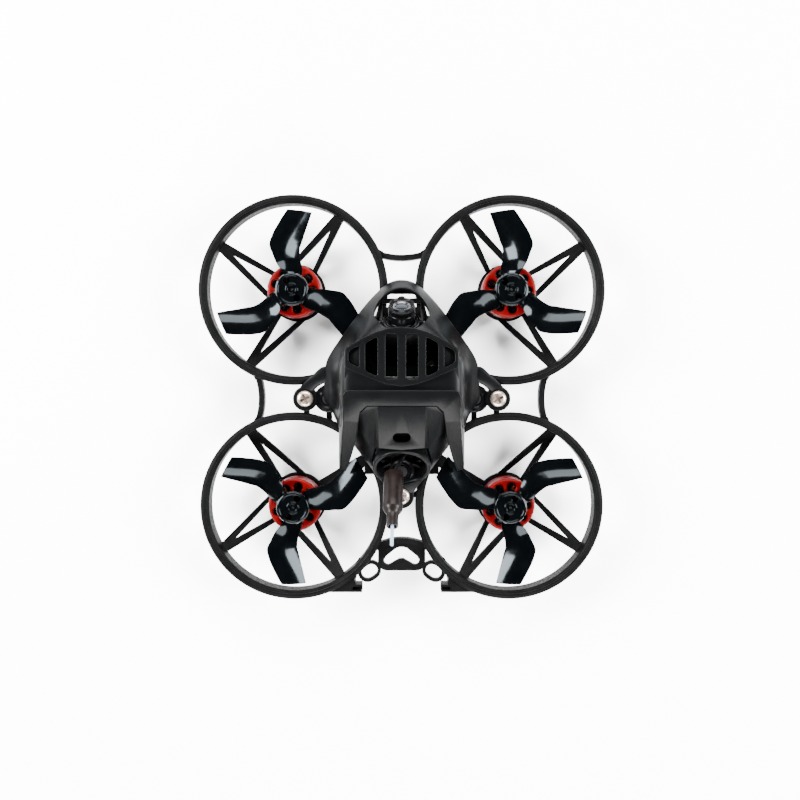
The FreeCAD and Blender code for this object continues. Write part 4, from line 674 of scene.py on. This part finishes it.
def make_tube():
    """The antenna tube's mouth: a round wall with a softly rounded rim and a shallow step inside."""
    axis = Matrix.Rotation(math.radians(90 - TUBE_SLOPE), 3, "X")
    wall = [(5.9, -5.0), (6.95, -5.0), (6.95, 0.0), (6.1, 0.0), (5.9, -0.35)]
    tube = lathe("tube", rounded(wall, 0.28, 4), TUBE_CENTRE, axis, 96)
    under = prism("under", [(-12, -26), (12, -26), (12, -6), (-12, -6)], 0, 12.3)
    carve(tube, under)
    fins = []
    for angle in (35, 145, 215, 325):
        c, s = math.cos(math.radians(angle)), math.sin(math.radians(angle))
        outline = [(c * 3.2 - s * 0.35, s * 3.2 + c * 0.35), (c * 3.2 + s * 0.35, s * 3.2 - c * 0.35),
                   (c * 6.3 + s * 0.35, s * 6.3 - c * 0.35), (c * 6.3 - s * 0.35, s * 6.3 + c * 0.35)]
        fins.append(bevel(prism("fin", outline, -4.8, -2.6, axis, TUBE_CENTRE), 0.1, 2))
    return [tube] + fins


def make_nose_shelf():
    """The flange that closes the foot of the nose, and the webs beside the camera."""
    made = [prism("shelf", [(2.4, 27.8), (-2.4, 27.8), (-5.8, 25.35), (5.8, 25.35)], 14.3, 15.1)]
    for sign in (-1, 1):
        wing = [(5.9, 15.4), (10.4, 15.4), (9.9, 16.9), (7.9, 19.4), (6.0, 20.0)]
        made.append(prism("wing", [(sign * x, y) for x, y in wing], 19.0, 19.7))
    return bevel(join("shelf", made), 0.1, 2)


def make_tabs():
    """The three screw tabs, and the curved arms that carry the side ones down from the skirt."""
    made = []
    for x, y in SCREW_PLACES:
        ring = [(0.8, 11.6), (3.05, 11.6), (3.05, 12.8), (0.8, 12.8)]
        made.append(lathe("tab", rounded(ring, 0.22, 3), (x, y, 0), steps=56))
    for sign in (-1, 1):
        stations = [((18.9, 9.3, 14.3), (15.6, 5.4, 14.2), (18.5, 9.0, 13.5), (15.8, 5.6, 13.4)),
                    ((21.3, 6.5, 14.0), (17.6, 4.2, 13.9), (21.2, 6.3, 13.2), (17.7, 4.1, 13.1)),
                    ((23.0, 4.9, 13.6), (19.6, 3.5, 13.5), (23.0, 4.7, 12.85), (19.7, 3.4, 12.85)),
                    ((25.0, 3.3, 13.15), (21.0, 2.4, 13.1), (24.9, 3.1, 12.6), (21.1, 2.3, 12.3)),
                    ((25.9, 1.6, 12.8), (21.9, 1.1, 12.75), (25.8, 1.4, 11.9), (22.0, 1.0, 11.8))]
        points, faces = [], []
        for station in stations:
            points += [(sign * x, y, z) for x, y, z in station]
        for i in range(len(stations) - 1):
            a, b = 4 * i, 4 * (i + 1)
            for p, q in ((0, 1), (1, 3), (3, 2), (2, 0)):
                faces.append((a + p, a + q, b + q, b + p))
        faces += [(0, 1, 3, 2), (16, 17, 19, 18)]
        arm = subdivide(mesh_from("arm", points, faces), 2)
        carve(arm, prism("head_room", circle(2.12, 40, (sign * SCREW_PLACES[1][0], 0)), 12.75, 16))
        made.append(bevel(arm, 0.08, 2, 45))
    return made


def make_canopy():
    pieces = [make_dome(), make_panel(), make_facets(), make_roof(), make_holder(), make_nose_shelf()]
    pieces += make_tube() + make_tabs()
    place_piece(join("canopy_looks", pieces), AIRFRAME, "canopy_plastic", ("canopy",), 38)


# ---------------------------------------------------------------- screws, grommets, lens and antenna

def cross_recess(x, y, top, size, depth):
    arms = []
    for turn in (25, 115):
        c, s = math.cos(math.radians(turn)), math.sin(math.radians(turn))
        outline = [(x + c * a - s * b, y + s * a + c * b)
                   for a, b in ((-size, -0.32), (size, -0.32), (size, 0.32), (-size, 0.32))]
        arms.append(prism("recess", outline, top - depth, top + 1))
    return arms


def make_canopy_screws():
    low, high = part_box("canopy_screws")
    top = high.z / MM
    made = []
    for x, y in SCREW_PLACES:
        head = [(0.0001, top - 1.0), (1.95, top - 1.0), (2.0, top - 0.75), (1.9, top - 0.4),
                (1.6, top - 0.14),
                (1.1, top - 0.02), (0.0001, top)]
        screw = lathe("screw", head, (x, y, 0), steps=56)
        carve(screw, *cross_recess(x, y, top, 1.25, 0.9))
        shank = lathe("shank",
                      [(0.0001, low.z / MM), (0.5, low.z / MM), (0.6, low.z / MM + 0.2), (0.6, top - 0.95),
                                (0.0001, top - 0.95)], (x, y, 0), steps=24)
        made += [bevel(screw, 0.05, 2, 50), shank]
    place_piece(join("canopy_screws_looks", made), AIRFRAME, "screw_steel", ("canopy_screws",), 40)


def make_grommets():
    low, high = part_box("fc_grommets")
    bottom, top = low.z / MM, high.z / MM
    made = []
    for x, y in ((-GROMMET_REACH, 0), (GROMMET_REACH, 0), (0, GROMMET_REACH), (0, -GROMMET_REACH)):
        profile = [(0.85, bottom), (2.95, bottom), (2.95, bottom + 0.8), (1.95, bottom + 0.8),
                   (1.95, top - 0.8),
                   (3.45, top - 0.8), (3.45, top - 0.25), (3.2, top), (2.75, top), (2.62, top - 0.25),
                   (2.3, top - 0.3),
                   (2.1, top - 0.05), (1.7, top - 0.05), (1.6, top - 0.3), (0.85, top - 0.3)]
        made.append(lathe("grommet", rounded(profile, 0.12, 3), (x, y, 0), steps=64))
    place_piece(join("fc_grommets_looks", made), AIRFRAME, "rubber", ("fc_grommets",), 60)


TILT = Matrix.Rotation(math.radians(CAMERA_TILT - 90), 3, "X")


def make_lens():
    """The barrel with its stepped rims, and a domed front glass set into it."""
    barrel = [(2.2, 0.4), (3.2, 0.4), (3.2, 2.9), (3.08, 3.0), (3.08, 3.3), (3.2, 3.4), (3.2, 5.0),
              (3.1, 5.1),
              (3.1, 5.3), (3.2, 5.4), (3.2, 6.5), (2.95, 6.65), (2.95, 7.3), (2.75, 7.3), (2.6, 6.9),
              (2.3, 6.7),
              (2.2, 6.6)]
    item = lathe("lens_barrel_looks", rounded(barrel, 0.06, 2), PIVOT, TILT, 96)
    place_piece(item, "camera", "lens_metal", ("lens_barrel",), 40)
    inner = [(1.25, 6.25), (2.2, 6.25), (2.2, 6.75), (1.95, 6.85), (1.45, 6.55), (1.25, 6.4)]
    bright = lathe("lens_inner_ring", rounded(inner, 0.05, 2), PIVOT, TILT, 72)
    place_piece(bright, "camera", "lens_ring", (), 40)
    rings = []
    for radius in (4.32, 3.62):
        section = [(radius - 0.2, 2.4), (radius + 0.2, 2.4), (radius + 0.2, 2.75), (radius - 0.2, 2.75)]
        rings.append(lathe("ring", rounded(section, 0.17, 5), PIVOT, TILT, 96))
    place_piece(join("lens_base_rings", rings), "camera", "rubber", (), 60)
    dome = [(0.0001, 5.9), (2.05, 5.9)]
    for angle in range(0, 90, 10):
        turn = math.radians(angle)
        dome.append((2.05 * math.cos(turn), 6.1 + 0.75 * math.sin(turn)))
    dome += [(0.0001, 6.85)]
    glass = lathe("lens_glass_looks", dome, PIVOT, TILT, 64)
    place_piece(glass, "camera", "lens_glass", ("lens_glass",), 40)


def make_pads():
    """Plated edge pads on the board, beside the canopy's rear corners."""
    for sign in (-1, 1):
        for slot, shift in (("gold", 0.0), ("screw_steel", 1.15), ("gold", 2.3)):
            x, y = sign * (16.25 - shift * 0.707), -3.05 - shift * 0.707
            turn = Matrix.Rotation(math.radians(45), 3, "Z")
            pad = bevel(prism("pad", racetrack(0.42, 0.42, 0.1, 2), 11.18, 11.32, turn, (x, y, 0)), 0.03, 2)
            pad.name = "board_pad_%s_%d" % ("left" if sign < 0 else "right", round(shift * 10))
            place_piece(pad, AIRFRAME, slot, (), 40)


def sweep_line(name, start, way, profile, steps):
    """A closed profile of (radius, distance) spun about a line from a point."""
    turn = Vector((0, 0, 1)).rotation_difference(way).to_matrix()
    return lathe(name, profile, tuple(start), turn, steps)


def make_antenna():
    slope, lean = math.radians(TUBE_SLOPE), math.radians(SLEEVE_LEAN)
    way = Vector((-math.cos(slope) * math.sin(lean), -math.cos(slope) * math.cos(lean), math.sin(slope)))
    start = Vector((SLEEVE_SIDE, TUBE_CENTRE[1] - SLEEVE_START * math.cos(slope),
                    TUBE_CENTRE[2] + SLEEVE_START * math.sin(slope)))
    sleeve = [(0.0001, 0.0), (2.2, 0.0), (2.35, 0.25), (2.37, 2.6), (2.33, 5.2), (2.36, 7.6), (2.34, 9.7),
              (2.22, 10.1),
              (1.86, 10.7), (1.52, 11.15), (1.38, 11.6), (1.33, 13.0), (1.36, 14.2), (1.34, 14.55), (1.15,
                                                                                                     14.6),
              (0.95, 14.5), (0.93, 12.5), (0.0001, 12.4)]
    item = sweep_line("antenna_sleeve_looks", start, way, sleeve, 64)
    place_piece(item, AIRFRAME, "shrink_sleeve", ("antenna_sleeve",), 50)
    rod = [(0.0001, 12.3), (0.4, 12.3), (0.4, 19.35), (0.34, 19.55), (0.0001, 19.6)]
    whisker = sweep_line("antenna_whisker_looks", start, way, rod, 32)
    place_piece(whisker, AIRFRAME, "whisker", ("antenna_whisker",), 40)


# ---------------------------------------------------------------- stage

def make_stage():
    floor = bpy.data.meshes.new("floor")
    corners = [(x * FLOOR_HALF, y * FLOOR_HALF, 0) for x, y in ((-1, -1), (1, -1), (1, 1), (-1, 1))]
    floor.from_pydata(corners, [], [(0, 1, 2, 3)])
    item = link_mesh("floor", floor)
    item.data.materials.append(floor_material())


def area_light(name, at, size, power, colour):
    data = bpy.data.lights.new(name, "AREA")
    data.shape = "RECTANGLE"
    data.size, data.size_y = size
    data.energy = power
    data.color = colour
    item = bpy.data.objects.new(name, data)
    bpy.context.scene.collection.objects.link(item)
    item.location = at
    item.rotation_euler = (Vector((0, 0, 0)) - Vector(at)).to_track_quat("-Z", "Y").to_euler()


def make_lights():
    world = bpy.data.worlds.new("studio")
    bpy.context.scene.world = world
    world.use_nodes = True
    background = world.node_tree.nodes["Background"]
    background.inputs["Color"].default_value = (1, 1, 1, 1)
    background.inputs["Strength"].default_value = WORLD_STRENGTH
    area_light("left", (-0.50, 0.14, 0.36), (0.30, 0.30), 36.0, (0.97, 0.985, 1.0))
    area_light("right", (0.50, 0.05, 0.36), (0.30, 0.30), 28.0, (0.97, 0.985, 1.0))
    area_light("front", (0.0, 0.50, 0.40), (0.6, 0.3), 26.0, (1.0, 0.995, 0.99))
    area_light("rear", (0.0, -0.50, 0.38), (0.6, 0.3), 24.0, (1.0, 0.995, 0.99))


def make_camera():
    data = bpy.data.cameras.new("camera")
    data.sensor_width = 36
    data.lens = CAMERA_LENS
    data.clip_start = 0.005
    item = bpy.data.objects.new("view_camera", data)
    bpy.context.scene.collection.objects.link(item)
    at = Vector(CAMERA_PLACE) * MM
    aim = Vector(CAMERA_AIM) * MM
    back = (at - aim).normalized()
    right = Vector((0, 1, 0)).cross(back).normalized()
    item.location = at
    item.rotation_euler = Matrix((right, back.cross(right), back)).transposed().to_euler()
    bpy.context.scene.camera = item


make_camera()
make_stage()
make_lights()
for corner, sense, phase, middle in CORNERS:
    make_propeller(corner, sense, phase, middle)
    make_windings(corner, middle)
    polished("motor_bell_" + corner, 0.12)
make_canopy()
make_canopy_screws()
make_grommets()
make_lens()
make_antenna()
make_pads()
for node, width in (("camera_housing", 0.2), ("camera_bracket", 0.15), ("fc_board", 0.08),
                    ("vtx_shield", 0.15),
                    ("motor_plugs", 0.15), ("fc_chips", 0.08)):
    polished(node, width)
